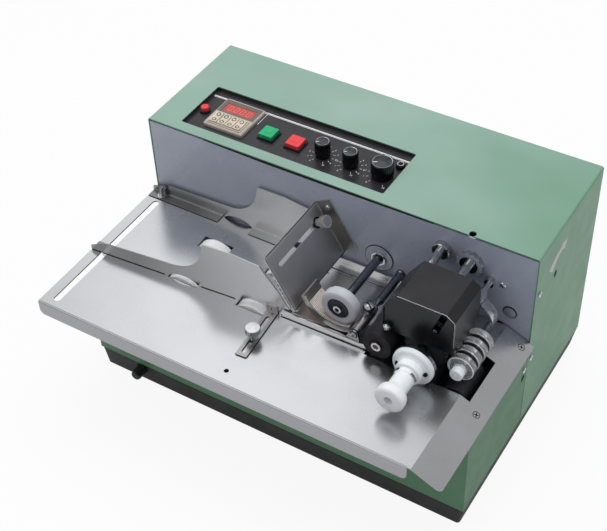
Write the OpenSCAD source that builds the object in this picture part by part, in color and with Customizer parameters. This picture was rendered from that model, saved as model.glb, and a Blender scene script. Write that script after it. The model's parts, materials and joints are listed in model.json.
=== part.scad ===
// Bench-top date coding machine: sheet-metal cabinet, worktable, friction feeder,
// rotary print head and exit roller. Millimetres, +Z up. Places below are given from the
// cabinet's left side (x), its front plate (y, negative towards the user) and the floor (z).

/* [Cabinet] */
// Width of the cabinet
cabinet_w = 445; // [440:1:450]
// Depth of the rear cover behind the front plate
cover_depth = 154; // [150:1:170]
// Depth of the front box under the worktable
front_box_depth = 132; // [125:1:140]
// Height of the rear cover's top above the floor
cover_top = 258; // [256:1:262]
// Height of the base tray's rim above the floor
base_rim = 30; // [28:1:32]
// Height of the rubber feet
foot_h = 10; // [8:1:12]
// Thickness of the painted sheet
skin_t = 1.2; // [1:0.1:1.5]
// Thickness of the grey front plate
plate_t = 2; // [1.5:0.5:2.5]

/* [Control panel] */
// Window in the cover: left, right
window_x = [34, 274.5]; // [30:0.5:280]
// Window in the cover: front, rear
window_y = [12.5, 82]; // [10:0.5:90]
// Depth of the black panel below the cover's top
panel_drop = 4.7; // [4:0.1:6]
// Side of the counter's square bezel
counter_w = 48; // [46:1:50]
// Height of the knobs above the panel
knob_h = 18.7; // [16:0.1:20]
// Travel of the push buttons
button_travel = 1.5; // [1:0.1:2]

/* [Worktable] */
// Left and right ends of the flat part
table_x = [-4, 420]; // [-10:1:430]
// Front edge of the table
table_front = -201; // [-210:1:-190]
// Thickness of the stainless sheet
table_t = 1.5; // [1.2:0.1:2]
// Height of the front lip
lip_h = 17.5; // [12:0.5:20]
// Horizontal reach of the sloping exit chute
chute_reach = 30.5; // [28:0.5:32]
// Slope of the exit chute in degrees
chute_angle = 25; // [20:1:30]

/* [Feeder] */
// Centres of the two feed shafts along the table
feed_x = [107.6, 191]; // [107:0.1:191]
// Centres of the two wheels on each feed shaft
feed_y = [-99.3, -46.3]; // [-110:0.1:-40]
// Radius of the feed wheels
feed_r = 24.5; // [23:0.1:25]
// Height of the feed wheels above the table
feed_rise = 4; // [3:0.1:5]
// Angle at which the front guide stands to the rear one, in degrees
guide_skew = 4.3; // [0:0.1:5]
// Radius of the white separating wheel
separator_r = 20; // [19:0.1:20]
// Length of the gate plate along its slope
gate_len = 64; // [60:1:66]
// Lean of the gate plate from the vertical, in degrees
gate_lean = 30.5; // [28:0.1:34]

/* [Print head] */
// Radius of the type roll over its type
type_r = 21.7; // [21:0.1:21.7]
// Radius of the ink roller
ink_r = 16; // [15:0.1:16.2]
// Radius of the upper pinch roller
pinch_r = 15.8; // [15:0.1:15.8]
// Front face of the ink cover
hood_front = -89; // [-90:0.5:-88]
// Rear face of the ink cover
hood_rear = -37; // [-38:0.5:-36]
// Radius of the clear exit discs
exit_r = 13.5; // [13:0.1:13.5]

/* [Hidden] */
$fn = 48;
table_z = 160;
gap = 0.1;
base_t = 1.5;
base_taper = 4;
chute_end = table_x[1] + chute_reach;
mid_x = (table_x[0] + chute_end) / 2;
mid_y = (table_front + cover_depth) / 2;
skin_z = cover_top - skin_t;
panel_z = cover_top - panel_drop;
panel_t = 2;
plate_y = [0.5, 0.5 + plate_t];
inner_y = [40, 43];
inner_top = 212;
bearing_r = 11;
shaft_r = 5;
table_under = table_z - table_t;
chute_tan = tan(chute_angle);
chute_under = table_t / cos(chute_angle);
chute_screws = [[440.9, -11.4], [440.1, -109.1]];
opening_x = [317, 429.6];
opening_y = [-102, -46.5];
separator_cut_x = [221.5, 317];
separator_cut_y = [-98.5, -17.5];
wheel_window = [36, 16.5];
slot_x = [7.5, 15];
slot_y = [-192, -17];
feed_z = table_z + feed_rise - feed_r;
feed_wheel_w = 13;

// Shaft centres, x and z
separator_c = [277.5, table_z + 24.2];
trough_c = [277.5, table_z + 41.3];
rod_c = [302.6, table_z + 13.6];
ear_y = [-95.6, -94.1];
eye_y = [-92.6, -55];
pinch_c = [330, table_z + 16.2];
lower_pinch_c = [330, table_z - 13.8];
print_c = [374, table_z + 21.8];
impression_c = [374, table_z - 16.3];
exit_c = [410.5, table_z + 14];
lower_exit_c = [411, table_z - 13.5];
motor_c = [240, 75];
arm_post_c = [347, table_z + 69];
hood_post_c = [377, table_z + 65];
exit_post_c = [399, table_z + 51];
ink_c = [385.8, table_z + 58.2];
lower_pinch_r = 13.6;
impression_r = 16;
lower_exit_r = 13;
roller_y = [-98, -56];
shaft_end = 46;
driven_shafts = [
    [feed_x[0], feed_z], [feed_x[1], feed_z], separator_c, pinch_c,
    lower_pinch_c, print_c, impression_c, lower_exit_c
];

// Belt and gear planes behind the front plate, each [front, rear]
plane_a = [8, 14];
plane_b = [16, 22];
plane_c = [24, 30];
plane_d = [32, 38];
gear_module = 1;
lower_teeth = 28;
upper_teeth = 32;
motor_pulley_r = 10;
motor_driven_r = 12;
feed_link_r = 14;
feed_pulley_r = 18;
pinch_pulley_r = 10;
separator_pulley_r = 14.1;
upper_pulley_r = 11;
impression_pulley_r = 11.8;
exit_pulley_r = 10;
belt_t = 1.4;
belt_gap = 0.3;

// Guides: outline x and height above the table, and the concave sweep before the tall part
guide_t = 1.2;
guide_lift = 0.05;
guide_outline = [
    [-4, 0], [220, 0], [233, 7], [229, 14], [220.5, 28.6], [205, 49],
    [200, 57], [168, 61], [136, 60.5], [133.4, 48], [97, 18], [17, 14.8], [-4, 5.5]
];
sweep_c = [97, 54.8];
sweep_r = 36.8;
arch_r = 27.5;
front_guide_at = [-4, -112.6];
rear_guide_y = -3;
flange_w = 12;
strip_x = 216;
strip_w = 12;
strip_len = 66;
strip_screw_y = -41;
guide_bolt_r = 2;
rear_bolt_at = [11.3, -8];
bearing_len = 6.2;
rear_rail_end = 330;
rear_rail_h = 6.6;

// Gate plate, in its own frame: x along the normal, y across, z up the slope
gate_at = [238, table_z + 14.4];
gate_t = 1.5;
gate_y = [-97, 0.5];
gate_slot_z = gate_len - 17.4;
gate_slot_y = [-85, -11];
gate_screw_y = -13.5;
gate_screw_at = [11.1, gate_len - 9];
gate_wing = 18.4;

// Ink cover outline, counter-clockwise from its lower left corner
hood_outline = [
    [337.5, table_z + 32], [405, table_z + 33.5], [405, table_z + 76], [396, table_z + 83],
    [346, table_z + 83], [330.5, table_z + 61], [330.5, table_z + 36.5]
];
hood_t = 1.2;
hood_boss = 2.4;
hood_rim = 1.6;
hood_screw_at = [336.6, table_z + 38.6];

// Control panel places, x and y
counter_at = [78, 47];
reset_at = [42.2, 44.5];
start_at = [124.8, 40.8];
stop_at = [157, 41];
knobs = [[190, 40, 8.2], [222.5, 39.6, 8.2], [258, 41, 11.6]];
knob_disc_drop = 0.5;
knob_flutes = 30;
panel_fuse_at = [267.5, 61.5];
base_cap_c = [55, 22.4];
key_pitch = 9.6;
key_w = 8.4;
key_len = 16;
key_y = -12;
key_pin_z = panel_z + 3.4;
board_z = panel_z - panel_t - 13.3;
board_t = 1.6;

// Moves cabinet places to the part's own origin, under the middle of its box
module place() {
    translate([-mid_x, -mid_y, 0]) children();
}

// Straight round bar along y, between two y values, at c = [x, z]
module bar(c, r, y0, y1) {
    translate([c[0], y1, c[1]]) rotate([90, 0, 0]) cylinder(r = r, h = y1 - y0);
}

// Extrudes an x-z outline along y
module along_y(y0, y1) {
    translate([0, y1, 0]) rotate([90, 0, 0]) linear_extrude(y1 - y0) children();
}

// Extrudes a y-z outline along x
module along_x(x0, x1) {
    translate([x0, 0, 0]) rotate([90, 0, 90]) linear_extrude(x1 - x0) children();
}

// Solid of revolution about an axis along y; profile is [radius, y]
module turned(c, profile) {
    translate([c[0], 0, c[1]]) rotate([-90, 0, 0]) rotate_extrude() polygon(profile);
}

module block(x, y, z) {
    translate([x[0], y[0], z[0]]) cube([x[1] - x[0], y[1] - y[0], z[1] - z[0]]);
}

// Rectangle with round corners between two corner points
module round_rect(p, q, r) {
    translate([p[0] + r, p[1]]) square([q[0] - p[0] - 2 * r, q[1] - p[1]]);
    translate([p[0], p[1] + r]) square([q[0] - p[0], q[1] - p[1] - 2 * r]);
    for (x = [p[0] + r, q[0] - r], y = [p[1] + r, q[1] - r])
        translate([x, y]) circle(r);
}

// Slot with round ends along the second coordinate
module slot_2d(x, y0, y1, w) {
    translate([x - w / 2, y0 + w / 2]) square([w, y1 - y0 - w]);
    for (y = [y0 + w / 2, y1 - w / 2]) translate([x, y]) circle(w / 2);
}

// Insets a convex counter-clockwise outline by t
function edge_normal(a, b) = let (d = (b - a) / norm(b - a)) [-d[1], d[0]];
function cross_2d(a, b) = a[0] * b[1] - a[1] * b[0];
function inset_corner(a, b, c, t) = let (
    n1 = edge_normal(a, b),
    n2 = edge_normal(b, c),
    d1 = b - a,
    d2 = c - b,
    p1 = b + n1 * t,
    p2 = b + n2 * t,
    s = cross_2d(p2 - p1, d2) / cross_2d(d1, d2)
) p1 + d1 * s;
function inset(pts, t) = let (n = len(pts)) [
    for (i = [0:n - 1]) inset_corner(pts[(i + n - 1) % n], pts[i], pts[(i + 1) % n], t)
];

// Involute spur gear outline, a tooth centred on angle 0 plus the given turn
function involute(a) = tan(a) * 180 / PI - a;
function half_tooth(r, teeth, play) = let (
    pitch_r = gear_module * teeth / 2,
    base_r = pitch_r * cos(20)
) 90 / teeth - play * 90 / PI / pitch_r + involute(20) - involute(acos(base_r / max(r, base_r)));
function polar(r, a) = [r * cos(a), r * sin(a)];
function gear_outline(teeth, turn, play = 0.3) = let (
    pitch_r = gear_module * teeth / 2,
    radii = [pitch_r - 1.25 * gear_module, pitch_r - 0.4, pitch_r, pitch_r + 0.5, pitch_r + 0.9]
) [
    for (i = [0:teeth - 1], side = [-1, 1], k = [0:len(radii) - 1])
        let (r = radii[side < 0 ? k : len(radii) - 1 - k])
            polar(r, i * 360 / teeth + turn + side * half_tooth(r, teeth, play))
];

module gear(c, teeth, y, turn) {
    along_y(y[0], y[1]) translate(c) polygon(gear_outline(teeth, turn));
}

// Flanged belt pulley on a shaft
module pulley(c, r, y) {
    turned(c, [[0, y[0] - 0.8], [r + 1.8, y[0] - 0.8], [r + 1.8, y[0]], [r, y[0]], [r, y[1]],
        [r + 1.8, y[1]], [r + 1.8, y[1] + 0.8], [0, y[1] + 0.8]]);
}

// Belt around two pulleys
module belt(a, ra, b, rb, y) {
    lie = belt_gap + belt_t;
    along_y(y[0] + 0.5, y[1] - 0.5) difference() {
        hull() {
            translate(a) circle(ra + lie);
            translate(b) circle(rb + lie);
        }
        hull() {
            translate(a) circle(ra + belt_gap);
            translate(b) circle(rb + belt_gap);
        }
    }
}

// Pan-head screw on the z = 0 plane, standing up, with a cross recess
module pan_screw(r = 3, h = 2) {
    difference() {
        rotate_extrude() polygon([[0, 0], [r, 0], [r, h * 0.45], [r * 0.75, h * 0.85],
            [r * 0.4, h], [0, h]]);
        for (a = [0, 90]) rotate(a)
            translate([-r * 0.5, -r * 0.1, h * 0.5]) cube([r, r * 0.2, h]);
    }
}

// Knurled round head between two heights
module knurled(r, z0, z1, count) {
    difference() {
        rotate_extrude() polygon([[0, z0], [r - 0.6, z0], [r, z0 + 0.6], [r, z1 - 0.6],
            [r - 0.6, z1], [0, z1]]);
        for (i = [0:count - 1]) rotate(i * 360 / count)
            translate([r, 0, z0 - 1]) cylinder(r = r * PI / count * 0.45, h = z1 - z0 + 2, $fn = 16);
    }
}

// Base tray, with its walls drawn in towards the floor
module tray_form(t, z0, z1) {
    hull() {
        translate([0, 0, z0]) linear_extrude(0.01)
            round_rect([base_taper + t, base_taper - front_box_depth + t],
                [cabinet_w - base_taper - t, cover_depth - base_taper - t], 7 - t);
        translate([0, 0, z1 - 0.01]) linear_extrude(0.01)
            round_rect([t, t - front_box_depth], [cabinet_w - t, cover_depth - t], 5 - t);
    }
}

module base_tray() {
    $fn = 24;
    color("#2e2e31") place() difference() {
        tray_form(0, foot_h, base_rim);
        tray_form(base_t, foot_h + base_t, base_rim + 1);
        for (x = [150:12:294]) translate([x, 60, foot_h - 1])
            linear_extrude(base_t + 2) slot_2d(0, 0, 50, 4);
        for (x = [25, 420], y = [-106, 128])
            translate([x, y, foot_h - 1]) cylinder(r = 2.2, h = base_t + 2);
        bar(base_cap_c, 6.85, -front_box_depth - 5, -front_box_depth + 8);
    }
}

module rubber_feet() {
    color("#1b1b1c") place() for (x = [25, 420], y = [-106, 128]) translate([x, y, 0])
        difference() {
            cylinder(r1 = 9.6, r2 = 11, h = foot_h);
            translate([0, 0, -1]) cylinder(r = 5, h = 5);
            translate([0, 0, -1]) cylinder(r = 2.2, h = foot_h + 2);
        }
}

// Outline of the cabinet across x, with its top edges bent round
module cabinet_section(inner, r) {
    lo = base_rim - (inner > 0 ? 1 : 0);
    hi = cover_top - inner;
    translate([inner, lo]) square([cabinet_w - 2 * inner, hi - lo - r]);
    translate([inner + r, lo]) square([cabinet_w - 2 * (inner + r), hi - lo]);
    for (x = [inner + r, cabinet_w - inner - r]) translate([x, hi - r]) circle(r);
}

module rear_cover() {
    color("#84ad97") place() difference() {
        along_y(0, cover_depth) cabinet_section(0, 2.6);
        along_y(-1, cover_depth - skin_t) cabinet_section(skin_t, 1.4);
        translate([0, 0, skin_z - 1]) linear_extrude(skin_t + 2)
            round_rect([window_x[0], window_y[0]], [window_x[1], window_y[1]], 2);
        translate([375.4, 3, skin_z - 1]) cylinder(r = 3.6, h = skin_t + 2);
        along_x(cabinet_w - 5, cabinet_w + 5) slot_2d(48, 196.5, 205.5, 7);
        // Ventilation slots and inlet cut-out in the back
        along_y(cover_depth - 5, cover_depth + 5) {
            for (x = [250, 330], z = [150:9:222]) translate([x, z]) square([55, 4]);
            translate([52, 52]) round_rect([0, 0], [29, 22], 3);
        }
    }
}

module front_box() {
    slope_z = table_z - chute_under - gap;
    wall_top = slope_z - (cabinet_w - table_x[1]) * chute_tan;
    notch = [22, 128];
    color("#47694f") place() {
        difference() {
            union() {
                // front wall, left wall with room to reach the clamp bolts, and right wall
                along_y(-front_box_depth, skin_t - front_box_depth)
                    polygon([[0, base_rim], [cabinet_w, base_rim], [cabinet_w, wall_top],
                        [table_x[1], slope_z], [table_x[1] - 1, table_under],
                        [notch[0], table_under], [notch[0], notch[1]], [0, notch[1]]]);
                block([0, skin_t], [-front_box_depth, -0.3], [base_rim, notch[1]]);
                block([0, 7], [-front_box_depth + 1, -1], [notch[1] - skin_t, notch[1]]);
                block([cabinet_w - skin_t, cabinet_w], [-front_box_depth, -0.3],
                    [base_rim, wall_top]);
                // flanges that carry the table
                block([notch[0], 418], [-front_box_depth + 1, -front_box_depth + 13],
                    [table_under - skin_t, table_under]);
                along_y(-front_box_depth + 1, -1)
                    polygon([[432, slope_z - 12 * chute_tan], [432, slope_z - 12 * chute_tan - 1.3],
                        [cabinet_w - 0.5, wall_top - 1.3], [cabinet_w - 0.5, wall_top + 0.23]]);
            }
            along_x(cabinet_w - 5, cabinet_w + 5) translate([-8, 104]) circle(4);
        }
    }
}

module front_plate() {
    color("#878c9b") place() difference() {
        union() {
            block([skin_t, cabinet_w - skin_t], plate_y, [base_rim, cover_top - 3.4]);
            for (x = [skin_t, cabinet_w - skin_t - 1.5])
                block([x, x + 1.5], [plate_y[0], 15], [base_rim, cover_top - 3.4]);
        }
        for (c = driven_shafts) bar(c, bearing_r, -1, 5);
        bar([411, table_z - 6], 8, -1, 5);
        block([403, 419], [-1, 5], [table_z - 12, table_z - 6]);
    }
}

module bearing(c, y, side) {
    difference() {
        union() {
            bar(c, bearing_r, y, y + bearing_len);
            bar(c, bearing_r + 2.5, side > 0 ? y + 2 : y - 1.5, side > 0 ? y + 3.5 : y);
        }
        bar(c, shaft_r + gap, y - 5, y + 12);
    }
}

module bearings() {
    color("#8d8f92") place() {
        for (c = driven_shafts) {
            bearing(c, plate_y[0], 1);
            difference() {
                union() {
                    bar(c, bearing_r, inner_y[0], inner_y[1] + 3);
                    bar(c, bearing_r + 2, inner_y[1], inner_y[1] + 1.5);
                }
                bar(c, shaft_r + gap, inner_y[0] - 5, inner_y[1] + 12);
            }
        }
        // flange round the separating shaft, on the face of the front plate
        difference() {
            turned(separator_c, [[0, -1.6], [6.2, -1.6], [6.2, -2.4], [8, -2.4], [8.8, -1.8],
                [8.8, -0.5], [16, -0.5], [16, plate_y[0]], [0, plate_y[0]]]);
            bar(separator_c, shaft_r + gap, -5, 5);
        }
    }
}

module inner_frame() {
    color("#9a9c9e") place() difference() {
        union() {
            along_y(inner_y[0], inner_y[1]) polygon([[80, foot_h + base_t],
                [432, foot_h + base_t], [432, inner_top], [135, inner_top], [135, 165], [80, 165]]);
            block([80, 432], [inner_y[0], inner_y[1] + 16], [foot_h + base_t, foot_h + base_t + 3]);
        }
        for (c = driven_shafts) bar(c, bearing_r, 35, 50);
        bar(motor_c, 7, 35, 50);
    }
}

module gear_motor() {
    color("#5d6064") place() difference() {
        union() {
            along_y(inner_y[1], inner_y[1] + 32) translate([motor_c[0] - 38, motor_c[1] - 38])
                round_rect([0, 0], [76, 76], 8);
            bar(motor_c, 34, inner_y[1] + 32, inner_y[1] + 100);
            bar(motor_c, 12, inner_y[1] + 100, inner_y[1] + 104);
        }
        bar(motor_c, shaft_r + gap, 30, 60);
    }
}

module drive_belts() {
    feed_l = [feed_x[0], feed_z];
    feed_r2 = [feed_x[1], feed_z];
    color("#202022") place() {
        $fn = 32;
        belt(feed_l, feed_link_r, feed_r2, feed_link_r, plane_a);
        belt(motor_c, motor_pulley_r, lower_pinch_c, motor_driven_r, plane_b);
        belt(feed_r2, feed_pulley_r, lower_pinch_c, pinch_pulley_r, plane_c);
        belt(separator_c, separator_pulley_r, pinch_c, upper_pulley_r, plane_c);
        belt(lower_pinch_c, pinch_pulley_r, impression_c, impression_pulley_r, plane_d);
        belt(impression_c, impression_pulley_r, lower_exit_c, exit_pulley_r, plane_c);
    }
}

module control_board() {
    color("#2e5e3a") place() {
        difference() {
            union() {
                block([110, 284], [16, 84], [board_z, board_z + board_t]);
                for (k = knobs) translate([k[0], k[1], board_z + board_t])
                    cylinder(r = 8, h = panel_z - panel_t - board_z - board_t);
                for (x = [128:28:268]) block([x, x + 16], [66, 78], [board_z - 9, board_z]);
            }
            for (k = knobs) translate([k[0], k[1], board_z + board_t + 1])
                cylinder(r = 3.3, h = 30);
        }
    }
}

module mains_inlet() {
    color("#232325") place() difference() {
        union() {
            along_y(cover_depth - 24, cover_depth) translate([52.2, 52.2])
                round_rect([0, 0], [28.6, 21.6], 2.8);
            along_y(cover_depth - skin_t - 2.5, cover_depth - skin_t) translate([42, 49])
                round_rect([0, 0], [49, 28], 4);
        }
        along_y(cover_depth - 17, cover_depth + 1) translate([54.5, 54.5])
            polygon([[0, 0], [24, 0], [24, 11], [19, 17], [5, 17], [0, 11]]);
    }
    color("#232325") place() for (p = [[60, 60], [66.5, 66], [73, 60]])
        block([p[0] - 1, p[0] + 1], [cover_depth - 18, cover_depth - 4], [p[1] - 2.5, p[1] + 2.5]);
}

// Screws that hold sheets of the cabinet, table, gate and ink cover
module machine_screws() {
    color("#b9bbbe") place() {
        for (s = chute_screws)
            translate([s[0], s[1], table_z - (s[0] - table_x[1]) * chute_tan])
                rotate([0, chute_angle, 0]) translate([0, 0, -table_t])
                    cylinder(r1 = 1.85, r2 = 3.35, h = table_t);
        for (s = [[9, 207], [7, 120]]) translate([cabinet_w, s[0], s[1]])
            rotate([0, 90, 0]) pan_screw(3.2, 1.9);
        translate([cabinet_w, -8, 116]) rotate([0, 90, 0]) pan_screw(3.2, 1.9);
        translate([411.2, plate_y[0], table_z + 50.4]) rotate([90, 0, 0]) pan_screw(3.4, 2.2);
        translate([0, plate_y[0] - gate_t, 0]) gate_frame()
            translate([gate_screw_at[0], 0, gate_screw_at[1]]) rotate([90, 0, 0]) pan_screw(3.2, 2.2);
        translate([hood_screw_at[0], hood_front - hood_boss, hood_screw_at[1]])
            rotate([90, 0, 0]) pan_screw(4, 3.4);
        translate([rod_c[0], ear_y[0], rod_c[1]]) rotate([90, 0, 0]) pan_screw(3.4, 2);
    }
}

module panel_plate() {
    color("#26262a") place() difference() {
        union() {
            block([window_x[0] - 9, window_x[1] + 9], [window_y[0] - 8, window_y[1] + 8],
                [panel_z - panel_t, panel_z]);
            difference() {
                block([window_x[0] - 2, window_x[1] + 2], [window_y[0] - 2, window_y[1] + 2],
                    [panel_z - 0.1, skin_z]);
                translate([0, 0, panel_z - 1]) linear_extrude(10)
                    round_rect([window_x[0] - 0.4, window_y[0] - 0.4],
                        [window_x[1] + 0.4, window_y[1] + 0.4], 2);
            }
        }
        translate([counter_at[0], counter_at[1], panel_z]) cube([45, 45, 20], center = true);
        for (p = [start_at, stop_at]) translate([p[0], p[1], panel_z])
            cube([17.8, 17.8, 20], center = true);
        translate([reset_at[0], reset_at[1], panel_z - 10]) cylinder(r = 5.4, h = 20);
        translate([panel_fuse_at[0], panel_fuse_at[1], panel_z - 10]) cylinder(r = 3.6, h = 20);
        for (k = knobs) translate([k[0], k[1], panel_z - 10]) cylinder(r = 3.4, h = 20);
    }
}

// Counter in a square case: display above, a raised block of rocker keys below
module counter_case() {
    h = counter_w / 2;
    color("#8b8a86") place() translate([counter_at[0], counter_at[1], 0]) {
        difference() {
            union() {
                translate([-22.3, -22.3, 175]) cube([44.6, 44.6, panel_z - 174]);
                hull() {
                    translate([0, 0, panel_z]) linear_extrude(3) round_rect([-h, -h], [h, h], 2);
                    translate([0, 0, panel_z + 3]) linear_extrude(1.2)
                        round_rect([1 - h, 1 - h], [h - 1, h - 1], 2);
                }
                translate([-20.5, key_y - 9.8, panel_z + 3]) cube([41, 19.6, 2.2]);
            }
            translate([-18, 2.5, panel_z + 3.2]) cube([36, 14, 3]);
            for (i = [-1.5:1.5]) translate([i * key_pitch - key_w / 2 - 0.3, key_y - 8.7, panel_z - 0.6])
                cube([key_w + 0.6, 17.4, 9]);
        }
        translate([-20, key_y, key_pin_z]) rotate([0, 90, 0]) cylinder(r = 0.8, h = 40, $fn = 24);
    }
}

module counter_key(i) {
    color("#c9c3b2") place()
        translate([counter_at[0] + (i - 1.5) * key_pitch, counter_at[1] + key_y, key_pin_z])
            difference() {
                along_x(-key_w / 2, key_w / 2) difference() {
                    round_rect([-key_len / 2, -2.4], [key_len / 2, 3.4], 1);
                    translate([0, 34.4]) circle(31.8);
                }
                translate([-10, 0, 0]) rotate([0, 90, 0]) cylinder(r = 1.1, h = 20, $fn = 24);
            }
}

module counter_key_1() { counter_key(0); }
module counter_key_2() { counter_key(1); }
module counter_key_3() { counter_key(2); }
module counter_key_4() { counter_key(3); }

// Button housings with their rims; the buttons slide inside them
module button_bezels() {
    floor_z = board_z + board_t;
    color("#1d1d1f") place() {
        for (p = [start_at, stop_at]) translate([p[0], p[1], 0]) difference() {
            union() {
                translate([0, 0, panel_z]) linear_extrude(1.8)
                    round_rect([-9.8, -9.8], [9.8, 9.8], 1.5);
                translate([-8.7, -8.7, floor_z]) cube([17.4, 17.4, panel_z - floor_z + 1]);
            }
            translate([-8.15, -8.4, floor_z + 1.5]) cube([16.3, 16.8, 40]);
        }
        translate([reset_at[0], reset_at[1], 0]) difference() {
            union() {
                translate([0, 0, panel_z]) cylinder(r = 6.2, h = 2);
                translate([0, 0, panel_z - 18]) cylinder(r = 5.3, h = 19);
            }
            translate([0, 0, panel_z - 16.5]) cylinder(r = 4.8, h = 30);
        }
    }
}

module square_button(p, c) {
    floor_z = board_z + board_t;
    color(c) place() translate([p[0], p[1], 0]) difference() {
        translate([0, 0, floor_z + 1.5 + button_travel + 0.4]) linear_extrude(panel_z + 5.7
            - floor_z - 1.9 - button_travel) round_rect([-7.8, -8], [7.8, 8], 1.2);
        translate([0, 0, panel_z + 36.3]) sphere(r = 31, $fn = 64);
    }
}

module start_button() { square_button(start_at, "#1f7a53"); }
module stop_button() { square_button(stop_at, "#b5222b"); }

module reset_button() {
    color("#b32a30") place() translate([reset_at[0], reset_at[1], 0])
        rotate_extrude() polygon([[0, panel_z - 14.6], [4.45, panel_z - 14.6], [4.45, panel_z + 5.4],
            [3.7, panel_z + 6.2], [0, panel_z + 6.4]]);
}

// Fluted control knob, with a shallow seat on top for its metal disc
module control_knob(k) {
    r = k[2];
    z0 = panel_z + 0.5;
    top = panel_z + knob_h;
    color("#1c1c1f") place() translate([k[0], k[1], 0]) difference() {
        rotate_extrude() polygon([[0, board_z + board_t + 2], [3, board_z + board_t + 2], [3, z0],
            [r * 0.93, z0], [r * 0.95, z0 + 3], [r, z0 + 3.6], [r, top - 0.7], [r - 0.7, top],
            [r - 1.1, top], [r - 1.1, top - knob_disc_drop], [0, top - knob_disc_drop]]);
        for (i = [0:knob_flutes - 1]) rotate(i * 360 / knob_flutes)
            translate([r * 1.04, 0, z0 + 4.4]) cylinder(r = r * 0.07, h = knob_h - 6.4, $fn = 12);
    }
}

module timing_knob() { control_knob(knobs[0]); }
module position_knob() { control_knob(knobs[1]); }
module speed_knob() { control_knob(knobs[2]); }

// Black plastic caps: fuse cap on the panel, fuse cap on the base, plug in the front plate
module plastic_caps() {
    color("#242428") place() {
        translate([panel_fuse_at[0], panel_fuse_at[1], 0]) rotate_extrude()
            polygon([[0, panel_z - 12], [3.5, panel_z - 12], [3.5, panel_z], [5, panel_z],
                [5, panel_z + 3.6], [4.2, panel_z + 4.6], [0, panel_z + 4.6]]);
        turned(base_cap_c, [[0, -145], [4.7, -145], [5.5, -144], [6.8, -front_box_depth],
            [6.8, -front_box_depth + 6], [0, -front_box_depth + 6]]);
        turned([421, table_z + 18], [[0, -2], [3.5, -1.7], [6, -0.7], [7, plate_y[0]],
            [0, plate_y[0]]]);
    }
}

// One folded sheet: top, front lip, and the chute folded down at the right
module worktable() {
    lip_r = 6;
    bend_r = 2.2;
    chute_drop = chute_reach * chute_tan;
    color("#bcbcc0") place() difference() {
        union() {
            block([table_x[0], table_x[1]], [table_front + bend_r, -0.5], [table_under, table_z]);
            // front bend and lip
            along_x(table_x[0], table_x[1] - 4) difference() {
                union() {
                    translate([table_front, table_z - lip_h]) square([table_t, lip_h - bend_r]);
                    translate([table_front + bend_r, table_z - bend_r]) intersection() {
                        circle(bend_r);
                        translate([-bend_r, 0]) square(bend_r);
                    }
                }
                translate([table_front + bend_r, table_z - bend_r]) intersection() {
                    circle(bend_r - table_t);
                    translate([-bend_r, -0.01]) square(bend_r);
                }
            }
            // chute
            along_y(table_front + 1, -1) polygon([[table_x[1] - 4, table_z], [table_x[1], table_z],
                [chute_end, table_z - chute_drop],
                [chute_end - table_t * sin(chute_angle), table_z - chute_drop - chute_under
                    + table_t * sin(chute_angle) * chute_tan],
                [table_x[1] - 0.4, table_under], [table_x[1] - 4, table_under]]);
        }
        // rounded lower corners of the lip and the chute's front corner
        along_y(table_front - 1, table_front + 2) {
            difference() {
                translate([table_x[0] - 1, table_z - lip_h - 1]) square(lip_r + 1);
                translate([table_x[0] + lip_r, table_z - lip_h + lip_r]) circle(lip_r);
            }
            difference() {
                translate([table_x[1] - 4 - lip_r, table_z - lip_h - 1]) square(lip_r + 1);
                translate([table_x[1] - 4 - lip_r, table_z - lip_h + lip_r]) circle(lip_r);
            }
        }
        translate([0, 0, table_z - 30]) linear_extrude(40) difference() {
            translate([chute_end - lip_r, table_front]) square([lip_r + 1, lip_r + 1]);
            translate([chute_end - lip_r, table_front + 1 + lip_r]) circle(lip_r);
        }
        // slot, wheel windows and openings
        translate([0, 0, table_z - 5]) linear_extrude(10) {
            slot_2d((slot_x[0] + slot_x[1]) / 2, slot_y[0], slot_y[1], slot_x[1] - slot_x[0]);
            for (x = feed_x, y = feed_y) translate([x - wheel_window[0] / 2, y - wheel_window[1] / 2])
                square(wheel_window);
            translate([separator_cut_x[0], separator_cut_y[0]])
                square([separator_cut_x[1] - separator_cut_x[0] + 1,
                    separator_cut_y[1] - separator_cut_y[0]]);
            translate([214.6, -184.8]) circle(2.5);
            translate(strip_screw_at()) circle(2.1);
            translate(rear_bolt_at) circle(guide_bolt_r + gap);
        }
        block(opening_x, opening_y, [table_z - 20, table_z + 5]);
        for (s = chute_screws)
            translate([s[0], s[1], table_z - (s[0] - table_x[1]) * chute_tan])
                rotate([0, chute_angle, 0]) translate([0, 0, -table_t])
                    cylinder(r1 = 1.9, r2 = 3.4, h = table_t + 0.01);
    }
}

// Place of the strip's thumbscrew in cabinet coordinates
function strip_screw_at() = [
    front_guide_at[0] + strip_x * cos(guide_skew) - strip_screw_y * sin(guide_skew),
    front_guide_at[1] + strip_x * sin(guide_skew) + strip_screw_y * cos(guide_skew)
];

// Inset plate under the separating wheel, with the ear that holds the rod's front end
module separator_plate() {
    x0 = separator_cut_x[0] + 0.3;
    x1 = separator_cut_x[1] - 3;
    y0 = separator_cut_y[0] + 0.3;
    y1 = separator_cut_y[1] - 0.3;
    color("#a9a9ac") place() {
        difference() {
            union() {
                block([x0, x1], [y0, y1], [table_z - 3, table_z]);
                block([x0 - 6, x1], [y0 - 6, y1 + 6], [table_under - 3, table_under]);
            }
            for (x = [x0 + 8, x1 - 8], y = [y0 + 5, y1 - 6]) translate([x, y, table_z - 1.6])
                cylinder(r = 2.6, h = 5);
        }
        difference() {
            along_y(ear_y[0], ear_y[1]) hull() {
                translate([rod_c[0] - 11.6, table_z - 0.2]) square([18.4, 2]);
                translate(rod_c) circle(4.6);
            }
            bar(rod_c, 2.3, ear_y[0] - 1, ear_y[1] + 1);
        }
    }
}

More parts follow.
